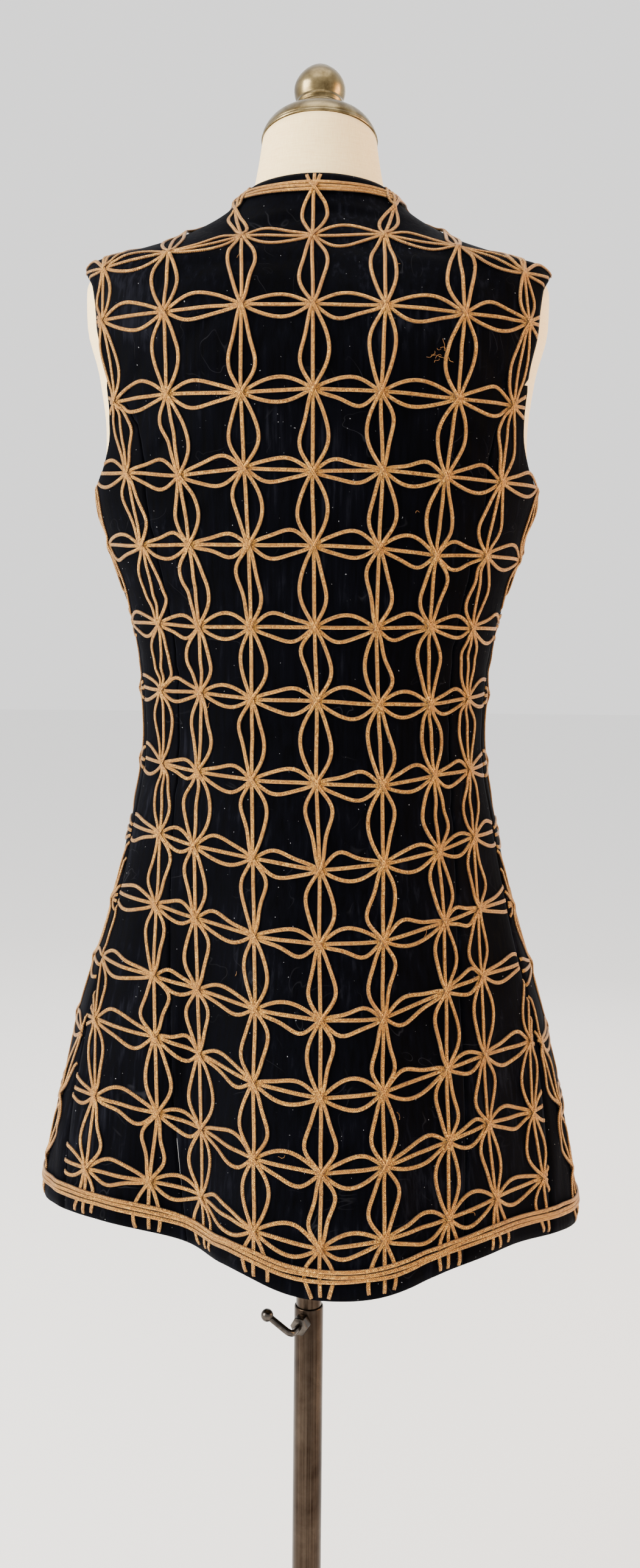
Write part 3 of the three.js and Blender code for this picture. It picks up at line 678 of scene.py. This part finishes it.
def cord_piece(name, paths, thickness=1.0):
    """Joins cords to one mesh. A path is (levels, angles, height over the cloth in mm)."""
    section = np.array(CORD_SECTION) * thickness
    sides = len(section)
    all_points = []
    faces = []
    uvs = []
    base = 0
    across = np.array(CORD_SECTION)[:, 0] / CORD_WIDTH + 0.5
    for level, angle, above in paths:
        spine = cloth_point(level, angle, above + CORD_RISE)
        up = face_normal(level, angle)
        tangent = np.gradient(spine, axis=0)
        tangent /= np.linalg.norm(tangent, axis=1, keepdims=True)
        side = np.cross(tangent, up)
        side /= np.linalg.norm(side, axis=1, keepdims=True)
        lift = np.cross(side, tangent)
        ring = (spine[:, None, :] + side[:, None, :] * section[None, :, :1]
                + lift[:, None, :] * section[None, :, 1:])
        count = len(spine)
        all_points.append(ring.reshape(-1, 3))
        length = np.concatenate([[0], np.cumsum(np.linalg.norm(np.diff(spine, axis=0), axis=1))])
        along = length / CORD_PITCH / thickness
        j, k = np.meshgrid(np.arange(count - 1), np.arange(sides), indexing="ij")
        n = (k + 1) % sides
        quads = np.stack([j * sides + k, (j + 1) * sides + k, (j + 1) * sides + n, j * sides + n], -1)
        faces.extend((quads.reshape(-1, 4) + base).tolist())
        corner_u = np.stack([across[k], across[k], across[n], across[n]], -1)
        corner_v = np.stack([along[j], along[j + 1], along[j + 1], along[j]], -1)
        uvs.append(np.stack([corner_u, corner_v], -1).reshape(-1, 2))
        first = base + np.arange(sides)
        last = base + (count - 1) * sides + np.arange(sides)
        faces.append(first.tolist())
        faces.append(last[::-1].tolist())
        uvs.append(np.tile([[0.5, 0.0]], (2 * sides, 1)))
        base += count * sides
    piece = piece_from(name, np.concatenate(all_points), faces, gold, "form",
                       np.concatenate(uvs))
    smooth_faces(piece)
    return piece


# Rows of the trellis: level at the centre back, then how much higher the row is at each
# distance from it. The first two lie in and over the neck braid, the last off the hem.
RISE_AT = (-160, -108, -54, 0, 52, 106, 155)
ROWS = [
    (1428, -34, -20, -6, 0, -6, -20, -34), (1394, -36, -22, -7, 0, -6, -18, -34),
    (1350, -40, -23, -2, 0, -2, -9, -42), (1285, -15, -7, -1, 0, -1, -7, -13),
    (1218, -7, -4, -3, 0, 0, -5, -8), (1153, 0, -3, 1, 0, 1, -2, -5),
    (1093, 1, 1, 0, 0, 0, -3, -7), (1029, 2, -2, 0, 0, 0, -1, -1),
    (968, 7, 6, 3, 0, -1, 0, 4), (903, 14, 8, 3, 0, 0, 4, 12),
    (838, 22, 14, 9, 0, 2, 10, 19), (779, 25, 19, 5, 0, 3, 13, 20),
    (723, 26, 20, 10, 0, 1, 16, 25), (666, 37, 29, 10, 0, 3, 17, 22),
    (613, 32, 21, 10, 0, 3, 15, 21), (561, 28, 19, 12, 0, 1, 11, 17),
    (503, 26, 18, 10, 0, 1, 9, 15),
]
# Columns of the trellis: distance from the middle one, by level.
COLUMN_TABLE = [
    (503, 51, 109, 164, 226), (561, 51, 107, 157, 218), (613, 50, 106, 147, 203),
    (666, 50, 104, 141, 197), (723, 51, 104, 142, 208), (779, 51, 104, 142, 210),
    (903, 52, 98, 136, 196), (1029, 51, 94, 135, 190),
    (1093, 52, 100, 146, 205), (1153, 55, 109, 160, 220), (1218, 56, 120, 174, 232),
    (1285, 57, 121, 184, 240), (1350, 59, 120, 175, 240), (1394, 78, 146, 206, 276),
]
DRIFT = [(503, 8), (779, 6), (903, 3), (1029, 0), (1218, -3), (1397, -4)]
FRONT_COLUMNS = (42, 96, 150, 204, 258, 312)
BEFORE_EDGE = -10               # where the rows start, past a front's edge
PAST_SEAM = 55                  # and past the side seam
FRONT_RISE = 0.7                # how much of the back's rise the rows keep on a front
PETAL = 11.0                    # half the width of a petal
PETAL_STEPS = 22
FULL_PETAL = 46.0               # nodes closer than this get smaller petals
NODE_SPAN = 60.0
NODE_SPREAD = 5.5
CUT_TUCK = 1.3                  # how deep a cut end is tucked in
CUT_MARGIN = 1.2                # how far from a seam or the hem the trellis stops
NECK_CLIMB = 2.6                # the upright strands are sewn over the neck's border


def column_arc(column, level):
    """Distance of a back column from the centre back."""
    drift = smooth(DRIFT, level)
    if column == 0:
        return drift
    return drift + math.copysign(1, column) * smooth(COLUMN_TABLE, level, abs(column))


def rise(row, arc):
    return float(np.interp(arc, RISE_AT, ROWS[row][1:]))


def back_node(column, row):
    level = ROWS[row][0]
    arc = float(column_arc(column, np.array(float(level))))
    found = level + rise(row, arc)
    return found, float(column_arc(column, np.array(found)))


def front_node(sign, distance, row):
    """A node of a front's trellis, at a distance from its front edge."""
    level = ROWS[row][0] + FRONT_RISE * rise(row, sign * 150)
    edge = float(arc_at(level, front_opening(np.array(float(level))) * sign))
    return level, edge - sign * distance


def jittered(nodes, spread_mm=1.1):
    moved = {}
    for key, (level, arc) in nodes.items():
        moved[key] = (level + chance.normal(0, spread_mm), arc + chance.normal(0, spread_mm))
    return moved


def petal_shape(s, lean):
    """Offset of a bowed strand between two nodes: pinched at the ends, round in the middle."""
    warped = s + lean * np.sin(np.pi * s) * s * (1 - s) * 2
    return np.sin(np.pi * np.clip(warped, 0, 1)) ** 1.02


def node_pile(s, high):
    """Extra height where a strand climbs over the others at its nodes."""
    ends = np.minimum(s, 1 - s) * NODE_SPAN
    return high * np.exp(-((ends / NODE_SPREAD) ** 2))


def strands(nodes, keys, upright):
    """Three strands through a line of nodes: one straight and two that bow and cross."""
    made = []
    s = np.linspace(0, 1, PETAL_STEPS + 1)
    spans = list(zip(keys[:-1], keys[1:]))
    widths = chance.uniform(0.8, 1.2, (2, len(spans)))
    leans = chance.uniform(-0.5, 0.5, (2, len(spans)))
    for strand in range(3):
        levels = []
        arcs = []
        heights = []
        for k, (first, last) in enumerate(spans):
            take = slice(None) if k == 0 else slice(1, None)
            level = nodes[first][0] + (nodes[last][0] - nodes[first][0]) * s
            arc = nodes[first][1] + (nodes[last][1] - nodes[first][1]) * s
            if strand:
                side = 1 if (strand == 1) == (k % 2 == 0) else -1
                pick = 0 if side > 0 else 1
                bow = side * PETAL * widths[pick, k] * petal_shape(s, leans[pick, k])
            else:
                bow = 0.35 * np.sin(2 * np.pi * s) * chance.uniform(-1, 1)
            length = math.hypot(nodes[last][0] - nodes[first][0], nodes[last][1] - nodes[first][1])
            bow = bow * min(1.0, length / FULL_PETAL)
            if upright:
                arc = arc + bow
            else:
                level = level + bow / mm_per_level(level, angle_at(level, arc))
            high = (1.5 + 0.35 * strand) if upright else 0.3 * strand
            levels.append(level[take])
            arcs.append(arc[take])
            heights.append(node_pile(s, high)[take])
        made.append([np.concatenate(part) for part in (levels, arcs, heights)])
    return made


def pieces_inside(level, arc, above, inside):
    """Cuts a strand where it leaves the panel, and tucks the cut ends into the seam."""
    angle = angle_at(level, arc)
    keep = inside(level, angle)
    found = []
    start = None
    for i in range(len(keep) + 1):
        if i < len(keep) and keep[i]:
            if start is None:
                start = i
            continue
        if start is not None and i - start >= 3:
            part = slice(start, i)
            height = above[part].copy()
            if start > 0:
                height[0] -= CUT_TUCK
            if i < len(keep):
                height[-1] -= CUT_TUCK
            found.append((level[part], angle[part], height))
        start = None
    return found


def back_inside(level, angle):
    reach = np.abs(angle)
    low_edge = np.where(level < ARM_LEVEL, back_edge(level), centre_edge(level))
    edge = low_edge - CUT_MARGIN / mm_per_degree(level, low_edge)
    under_neck = level < NECK_LEVEL - 1.0
    over_hem = level > row_level(np.full_like(level, HEM_LEVEL + CUT_MARGIN), angle)
    return (reach < edge) & under_neck & over_hem


def front_inside(level, angle):
    reach = np.abs(angle)
    side = front_side_edge(level)
    start = side + CUT_MARGIN / mm_per_degree(level, side)
    end = np.minimum(front_opening(level), neckline_angle(level)) - 1.0
    over_hem = level > row_level(np.full_like(level, HEM_LEVEL + CUT_MARGIN), angle)
    return (reach > start) & (reach < end) & over_hem


def resample(level, arc, above):
    """Even steps along a strand."""
    points = face_point(level, angle_at(level, arc))
    length = np.concatenate([[0], np.cumsum(np.linalg.norm(np.diff(points, axis=0), axis=1))])
    at = np.linspace(0, length[-1], max(3, int(length[-1] / CORD_STEP)))
    return tuple(np.interp(at, length, value) for value in (level, arc, above))


def trellis(name, nodes, lines, inside):
    paths = []
    for keys, upright in lines:
        for level, arc, above in strands(nodes, keys, upright):
            if upright:
                above = above + NECK_CLIMB * np.exp(-(((level - ROWS[1][0] + 2) / 8) ** 2))
            paths.extend(pieces_inside(*resample(level, arc, above), inside))
    cord_piece(name, paths)


def back_trellis():
    columns = range(-5, 6)
    nodes = {}
    for column in columns:
        for row in range(len(ROWS)):
            place = nodes_outside if abs(column) == 5 else back_node
            nodes[column, row] = place(column, row)
    nodes = jittered(nodes)
    lines = []
    for row in range(2, len(ROWS) - 1):
        lines.append(([(column, row) for column in columns], False))
    trellis("trellis_back_rows", nodes, lines, back_inside)
    lines = [([(column, row) for row in range(len(ROWS))], True) for column in range(-4, 5)]
    trellis("trellis_back_columns", nodes, lines, back_inside)


def nodes_outside(column, row):
    """Nodes past the side seam, only there to lead the rows to it."""
    sign = 1 if column > 0 else -1
    level, arc = back_node(4 * sign, row)
    return level, arc + sign * PAST_SEAM


def front_trellis(name, sign):
    distances = (BEFORE_EDGE,) + FRONT_COLUMNS
    nodes = {}
    for i, distance in enumerate(distances):
        for row in range(len(ROWS)):
            nodes[i, row] = front_node(sign, distance, row)
    nodes = jittered(nodes)
    lines = []
    for row in range(2, len(ROWS) - 1):
        lines.append(([(i, row) for i in range(len(distances))], False))
    for i in range(1, len(distances)):
        lines.append(([(i, row) for row in range(len(ROWS))], True))
    trellis(name, nodes, lines, front_inside)


WORN_LEVEL = 1246
WORN_ARC = 99
THREAD = 0.12                   # a thread's thickness as a share of the cord's
THREAD_POINTS = 12


def loose_threads():
    """Frayed ends of gold thread: one worn knot, and single ends here and there."""
    starts = [(WORN_LEVEL + chance.normal(0, 3), WORN_ARC + chance.normal(0, 3)) for _ in range(9)]
    starts += [(chance.uniform(560, 1340), chance.uniform(-150, 150)) for _ in range(10)]
    paths = []
    for level, arc in starts:
        heading = chance.uniform(0, 2 * np.pi)
        turn = chance.normal(0, 0.4, THREAD_POINTS).cumsum()
        step = chance.uniform(0.4, 0.9)
        levels = level + np.cumsum(step * np.sin(heading + turn))
        arcs = arc + np.cumsum(step * np.cos(heading + turn))
        above = 0.6 + np.linspace(0, chance.uniform(0.5, 3.5), THREAD_POINTS)
        paths.append((levels, angle_at(levels, arcs), above))
    cord_piece("loose_threads", paths, THREAD)


back_trellis()
loose_threads()
front_trellis("trellis_front_right", 1)
front_trellis("trellis_front_left", -1)

# ---------------------------------------------------------------- gold borders
BORDER_PITCH = 3.4
BORDER_CORDS = 3
HEM_BORDER = 14.4               # first cord above the hem
NECK_BORDER = 10.6              # first cord from the neck edge
EDGE_BORDER = 7.6               # first cord from a front edge
BORDER_HEIGHT = 1.5             # the borders lie over the ends of the trellis


def wobble(count, size):
    """A sewn cord never lies quite even."""
    knots = chance.normal(0, size, max(4, count // 6))
    return np.interp(np.linspace(0, 1, count), np.linspace(0, 1, len(knots)), knots)


def border_path(level, angle):
    above = BORDER_HEIGHT + wobble(len(level), 0.08)
    return level, angle, above


def hem_border():
    paths = []
    for k in range(BORDER_CORDS):
        row = HEM_LEVEL + HEM_BORDER + k * BORDER_PITCH
        end = float(front_opening(np.array(row))) - 1.6
        angle = np.linspace(-end, end, 320)
        level = row_level(row + wobble(320, 0.35), angle)
        paths.append(border_path(level, angle))
    piece = cord_piece("border_hem", paths)
    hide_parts("hem_braid")


def neck_border():
    paths = []
    for k in range(BORDER_CORDS):
        down = NECK_BORDER + k * BORDER_PITCH
        slope = float(mm_per_level(np.array(NECK_LEVEL - down), np.array(0.0)))
        row = NECK_LEVEL - down / slope
        stop = 1 - (2.0 + k * BORDER_PITCH) / 130
        part = np.linspace(0.0, stop, 60)
        level, angle = front_place(np.full(60, row), part, 1)
        back = np.linspace(-90, 90, 60)[1:-1]
        level = np.concatenate([level[::-1], np.full(58, row), level])
        angle = np.concatenate([-angle[::-1], back, angle])
        paths.append(border_path(level + wobble(len(level), 0.3), angle))
    piece = cord_piece("border_neck", paths)
    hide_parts("neck_braid")


def front_border(name, node_name, sign):
    paths = []
    for k in range(BORDER_CORDS):
        inward = EDGE_BORDER + k * BORDER_PITCH
        row = np.linspace(HEM_LEVEL + HEM_BORDER - 2, NECK_LEVEL - NECK_BORDER - k * BORDER_PITCH, 190)
        level, angle = front_place(row, np.ones(190), sign)
        angle = angle - sign * (inward + wobble(190, 0.3)) / mm_per_degree(level, 176.0)
        paths.append(border_path(level, angle))
    piece = cord_piece(name, paths)
    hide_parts(node_name)


hem_border()
neck_border()
front_border("border_front_right", "front_braid_right", 1)
front_border("border_front_left", "front_braid_left", -1)


# ---------------------------------------------------------------- the dress form
FORM_SLACK = [
    (700, 26), (860, 9), (937, 6), (1060, 6), (1142, 8), (1188, 5), (1250, 4.6), (1296, 5.5),
    (1318, 7.5), (1334, 7.5), (1355, 5.5), (1409, 4.6),
]
FORM_FLOOR = 720.0
FLOOR_ROUNDING = (7, 3, 1)
NECK_TOP_Y = 17.0
NECK_TOP_Z = 1448.0
NECK_TILT = 17.5
NECK_RADIUS = 50.0
NECK_WAIST = 0.01               # how much the neck pulls in between its ends
NECK_CENTRE = 16


def closed_loft(name, rings, material, body):
    """A closed solid through rings of points, with a fan at both ends."""
    count = rings.shape[1]
    points = rings.reshape(-1, 3)
    low = rings[0].mean(axis=0)
    high = rings[-1].mean(axis=0)
    faces = []
    for j in range(len(rings) - 1):
        for i in range(count):
            n = (i + 1) % count
            faces.append((j * count + i, j * count + n, (j + 1) * count + n, (j + 1) * count + i))
    first = len(points)
    top = (len(rings) - 1) * count
    for i in range(count):
        n = (i + 1) % count
        faces.append((first, n, i))
        faces.append((first + 1, top + i, top + n))
    points = np.concatenate([points, [low, high]])
    return piece_from(name, points, faces, material, body)


def dress_form():
    angles = np.linspace(-180, 180, 121)[:-1]
    angles = angles + 12 * np.sin(np.radians(2 * angles))
    levels = np.concatenate([
        [FORM_FLOOR, 721.5, 725], np.arange(732, 1290, 9.0), np.arange(1290, NECK_LEVEL, 3.5),
        [NECK_LEVEL],
    ])
    rings = []
    for k, level in enumerate(levels):
        slack = float(smooth(FORM_SLACK, level)) + (FLOOR_ROUNDING[k] if k < 3 else 0)
        ring = face_point(level, angles) - face_normal(level, angles) * slack
        if level < 730:
            ring[:, 2] = level
        rings.append(ring)
    start = rings[-1]
    turn = math.radians(NECK_TILT)
    top = np.stack([
        NECK_RADIUS * np.sin(np.radians(angles)),
        NECK_TOP_Y - NECK_RADIUS * np.cos(np.radians(angles)) * math.cos(turn),
        NECK_TOP_Z + NECK_RADIUS * np.cos(np.radians(angles)) * math.sin(turn),
    ], -1)
    for height in np.linspace(0, 1, 9)[1:]:
        pull = 1 - NECK_WAIST * math.sin(math.pi * height)
        ring = start + (top - start) * height
        ring[:, 0] *= pull
        ring[:, 1] = NECK_CENTRE + (ring[:, 1] - NECK_CENTRE) * pull
        rings.append(ring)
    piece = closed_loft("linen_form", np.array(rings), linen, "form")
    smooth_faces(piece)
    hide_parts("torso")


dress_form()


# ---------------------------------------------------------------- turned metal parts
def finish_by_hand(obj, name, material, body, angle=35):
    """Smooths a modelled piece, bakes its place into its mesh and sets what it is."""
    deselect()
    obj.select_set(True)
    bpy.context.view_layer.objects.active = obj
    bpy.ops.object.transform_apply(location=True, rotation=True, scale=True)
    bpy.ops.object.shade_smooth_by_angle(angle=math.radians(angle))
    obj.name = name
    obj.data.name = name
    obj.data.materials.clear()
    obj.data.materials.append(material)
    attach(obj, body)
    obj.select_set(False)


def turned(profile, steps=96):
    """Spins a profile of (radius, height) round the Z axis to a closed solid."""
    deselect()
    bpy.ops.mesh.primitive_plane_add(size=0.01, location=(0, 0, 0))
    obj = bpy.context.object
    bpy.ops.object.mode_set(mode="EDIT")
    bpy.ops.mesh.select_all(action="SELECT")
    bpy.ops.mesh.merge(type="CENTER")
    at = Vector((0, 0, 0))
    for k, (radius, height) in enumerate(profile):
        target = Vector((radius, 0, height)) * MM
        move = {"value": tuple(target - at)}
        if k == 0:
            bpy.ops.transform.translate(**move)
        else:
            bpy.ops.mesh.extrude_region_move(TRANSFORM_OT_translate=move)
        at = target
    bpy.ops.mesh.select_all(action="SELECT")
    bpy.ops.mesh.spin(steps=steps, angle=2 * math.pi, center=(0, 0, 0), axis=(0, 0, 1))
    bpy.ops.mesh.select_all(action="SELECT")
    bpy.ops.mesh.remove_doubles(threshold=1e-6)
    bpy.ops.mesh.normals_make_consistent(inside=False)
    bpy.ops.object.mode_set(mode="OBJECT")
    return obj


CAP_PROFILE = [
    (0, 0), (49.6, 0), (50.6, 0.3), (51, 0.9), (51, 2.2), (50.7, 3.0), (50.2, 3.5), (50.3, 4.1),
    (50.2, 5.5), (49.6, 7.3), (48.8, 9.1), (47.9, 11.0), (46.8, 12.8), (45.4, 14.8),
    (43.6, 16.7), (41.5, 18.6), (39, 20.3), (36.2, 22.0), (33, 23.6), (30, 24.9), (27, 25.8),
    (24, 26.6), (21, 27.2), (0, 27.2),
]
FINIAL_PROFILE = [
    (0, 27.5), (19.8, 27.5), (20.9, 27.9), (21.4, 28.9), (21.5, 31.0), (21.3, 33.2),
    (20.6, 34.8), (19.9, 35.8), (19.7, 36.4), (19.9, 37.0), (20.6, 37.8), (20.9, 38.9),
    (20.8, 40.2), (20.3, 41.2), (20.2, 41.9), (20.5, 43.0), (21.2, 44.6), (22.0, 47.0),
    (22.6, 49.6), (22.95, 52.2), (23.0, 54.4), (22.8, 56.6), (22.2, 59.4), (21.2, 62.2),
    (19.9, 64.9), (18.3, 67.3), (16.6, 69.6), (14.6, 71.7), (12.4, 73.9), (10.0, 75.8),
    (7.6, 77.4), (5.2, 78.6), (2.6, 79.5), (0, 79.8),
]


def cap_and_finial():
    tilt = Matrix.Rotation(-math.radians(NECK_TILT), 4, "X")
    lift = Matrix.Translation(Vector((0, NECK_TOP_Y, NECK_TOP_Z)) * MM)
    for name, profile in (("neck_cap", CAP_PROFILE), ("cap_finial", FINIAL_PROFILE)):
        obj = turned(profile)
        obj.matrix_world = lift @ tilt @ Matrix.Translation((0, 0, PART_GAP * MM))
        bpy.context.view_layer.update()
        finish_by_hand(obj, "turned_" + name, aged_brass, "form", 50)
        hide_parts(name)


cap_and_finial()

OUTER_TOP = 441.0
POLE_PROFILES = {
    "inner_tube": ([(0, 90), (10.4, 90), (11, 90.6), (11, 707.4), (0, 707.4)], "form"),
    "outer_tube": ([(11.5, 20.6), (12.5, 20.6), (12.5, OUTER_TOP - 1.2), (12.2, OUTER_TOP - 0.3),
                    (11.9, OUTER_TOP), (11.6, OUTER_TOP - 0.1), (11.5, OUTER_TOP - 0.5),
                    (11.5, 20.6)], "stand"),
    "base_socket": ([(0, 14.3), (25.2, 14.3), (26, 15), (26, 19), (25.2, 20.2), (21.5, 24),
                     (19, 28.3), (17.6, 35), (17, 43.5), (16.4, 44.3), (12.9, 44.3), (12.9, 20.3),
                     (0, 20.3)], "stand"),
}


def poles():
    for name, (profile, body) in POLE_PROFILES.items():
        obj = turned(profile, 72)
        finish_by_hand(obj, "turned_" + name, bronzed, body)
        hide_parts(name)


poles()

BASE_PROFILE = [
    (0, 0), (162.4, 0), (164.2, 0.8), (165, 2.4), (165, 8.6), (164.2, 10.8), (162, 12),
    (150, 12.6), (135, 13.3), (120, 14), (0, 14),
]


def base_plate():
    obj = turned(BASE_PROFILE, 128)
    finish_by_hand(obj, "turned_base_plate", enamel, "stand", 25)
    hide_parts("base_plate")


base_plate()


def torso_plate():
    profile = [(0, 707.7), (56.6, 707.7), (59, 708.6), (60, 711), (60, 719.7), (0, 719.7)]
    obj = turned(profile, 72)
    finish_by_hand(obj, "turned_torso_plate", gunmetal, "form")
    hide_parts("torso_plate")


torso_plate()


# ---------------------------------------------------------------- the lock
LOCK_HEIGHT = 431.0
LOCK_SIDE = 22.0
NUT_START = 13.1
NUT_ACROSS = 14.0
NUT_LENGTH = 10.2
ROD = 5.6
LEVER_OUT = 25.0
LEVER_BEND = 6.0
LEVER_ARM = 22.0
LEVER_RISE = 34.0
BALL = 10.5


def lock_frame():
    """From the lock's own axes, +Z straight out of the tube, to the stand's."""
    out = Vector((-math.sin(math.radians(LOCK_SIDE)), -math.cos(math.radians(LOCK_SIDE)), 0))
    up = Vector((0, 0, 1))
    side = up.cross(out)
    turn = Matrix((side, up, out)).transposed().to_4x4()
    return Matrix.Translation((0, 0, LOCK_HEIGHT * MM)) @ turn


def lock_nut():
    """A bevelled hexagon with its bore, drawn from a six-sided cylinder."""
    deselect()
    bpy.ops.mesh.primitive_cylinder_add(
        vertices=6, radius=NUT_ACROSS / math.sqrt(3) * MM, depth=NUT_LENGTH * MM,
        location=(0, 0, (NUT_START + NUT_LENGTH / 2) * MM), rotation=(0, 0, math.radians(30)))
    obj = bpy.context.object
    bpy.ops.object.transform_apply(location=True, rotation=True, scale=True)
    bpy.ops.object.mode_set(mode="EDIT")
    bpy.ops.mesh.select_all(action="DESELECT")
    bpy.ops.object.mode_set(mode="OBJECT")
    for face in obj.data.polygons:
        face.select = abs(face.normal.z) > 0.9
    bpy.ops.object.mode_set(mode="EDIT")
    bpy.ops.mesh.inset(thickness=0.7 * MM, depth=0.5 * MM)
    bpy.ops.mesh.inset(thickness=3.2 * MM, depth=-0.8 * MM)
    bpy.ops.object.mode_set(mode="OBJECT")
    edge = obj.modifiers.new("edge", "BEVEL")
    edge.width = 0.35 * MM
    edge.segments = 3
    edge.limit_method = "ANGLE"
    edge.angle_limit = math.radians(30)
    apply_modifiers(obj)
    obj.matrix_world = lock_frame()
    bpy.context.view_layer.update()
    finish_by_hand(obj, "hex_lock_nut", gunmetal, "stand")
    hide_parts("lock_nut")


def lock_lever():
    """A rod out of the nut, bent upwards to one side, with a ball on its end."""
    deselect()
    arm = Vector((-math.cos(math.radians(LEVER_RISE)), math.sin(math.radians(LEVER_RISE)), 0.12))
    arm.normalize()
    out = Vector((0, 0, 1))
    corner = out * (NUT_START + LEVER_OUT)
    end = corner + arm * (LEVER_ARM + BALL / 2 - 1.5)
    stops = [out * (NUT_START + 1.2), corner - out * LEVER_BEND]
    for step in range(1, 10):
        t = step / 10
        start = corner - out * LEVER_BEND
        finish = corner + arm * LEVER_BEND
        stops.append(start * (1 - t) ** 2 + corner * 2 * t * (1 - t) + finish * t * t)
    stops += [corner + arm * LEVER_BEND, end]
    bpy.ops.curve.primitive_nurbs_path_add()
    path = bpy.context.object
    curve = path.data
    curve.splines.clear()
    spline = curve.splines.new("POLY")
    spline.points.add(len(stops) - 1)
    for point, stop in zip(spline.points, stops):
        point.co = (*(stop * MM), 1)
    curve.bevel_depth = ROD / 2 * MM
    curve.bevel_resolution = 6
    curve.use_fill_caps = True
    deselect()
    path.select_set(True)
    bpy.context.view_layer.objects.active = path
    bpy.ops.object.convert(target="MESH")
    rod = bpy.context.object
    deselect()
    bpy.ops.mesh.primitive_uv_sphere_add(segments=40, ring_count=24, radius=BALL / 2 * MM,
                                         location=tuple(end * MM))
    ball = bpy.context.object
    bpy.ops.object.transform_apply(location=True, rotation=True, scale=True)
    join = rod.modifiers.new("ball", "BOOLEAN")
    join.operation = "UNION"
    join.object = ball
    apply_modifiers(rod)
    bpy.data.objects.remove(ball)
    rod.matrix_world = lock_frame()
    bpy.context.view_layer.update()
    finish_by_hand(rod, "ball_lever", gunmetal, "lever", 40)
    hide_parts("lock_lever")


lock_nut()
lock_lever()


# ---------------------------------------------------------------- camera, floor and light
CAMERA_DISTANCE = 1.352
CAMERA_HEIGHT = 1.060
CAMERA_ACROSS = 0.0039
CAMERA_ROLL = 0.53


def camera():
    data = bpy.data.cameras.new("camera")
    data.sensor_width = 36.0
    data.lens = 35.92
    data.shift_y = -0.125
    obj = bpy.data.objects.new("camera", data)
    obj.location = (CAMERA_ACROSS, -CAMERA_DISTANCE, CAMERA_HEIGHT)
    obj.rotation_euler = (math.radians(90), math.radians(-CAMERA_ROLL), 0)
    bpy.context.scene.collection.objects.link(obj)
    bpy.context.scene.camera = obj


def area_light(name, location, target, size, power, colour):
    data = bpy.data.lights.new(name, "AREA")
    data.shape = "RECTANGLE"
    data.size, data.size_y = size
    data.energy = power
    data.color = colour
    obj = bpy.data.objects.new(name, data)
    obj.location = location
    aim = Vector(target) - Vector(location)
    obj.rotation_euler = aim.to_track_quat("-Z", "Y").to_euler()
    bpy.context.scene.collection.objects.link(obj)


def studio():
    deselect()
    bpy.ops.mesh.primitive_plane_add(size=24, location=(0, 0, 0))
    floor = bpy.context.object
    floor.name = "pale_floor"
    material, _, shader = new_material("pale_floor")
    shader.inputs["Base Color"].default_value = (0.9, 0.9, 0.895, 1)
    shader.inputs["Roughness"].default_value = 0.9
    floor.data.materials.append(material)
    world = bpy.data.worlds.new("studio")
    world.use_nodes = True
    world.node_tree.nodes["Background"].inputs["Color"].default_value = (1.0, 0.99, 0.98, 1)
    world.node_tree.nodes["Background"].inputs["Strength"].default_value = 1.5
    bpy.context.scene.world = world
    area_light("window_left", (-2.4, -1.1, 1.9), (0, 0, 1.0), (1.4, 2.2), 250, (1.0, 0.97, 0.9))
    area_light("warm_right", (2.4, -0.2, 1.5), (0, 0, 1.0), (1.0, 1.8), 70, (1.0, 0.58, 0.24))
    area_light("overhead", (0, -0.4, 3.0), (0, 0, 1.0), (1.6, 1.6), 25, (1.0, 0.97, 0.93))
    area_light("rear_fill", (0.6, 2.4, 1.8), (0, 0, 1.0), (1.8, 1.8), 25, (1.0, 0.98, 0.95))


camera()
studio()
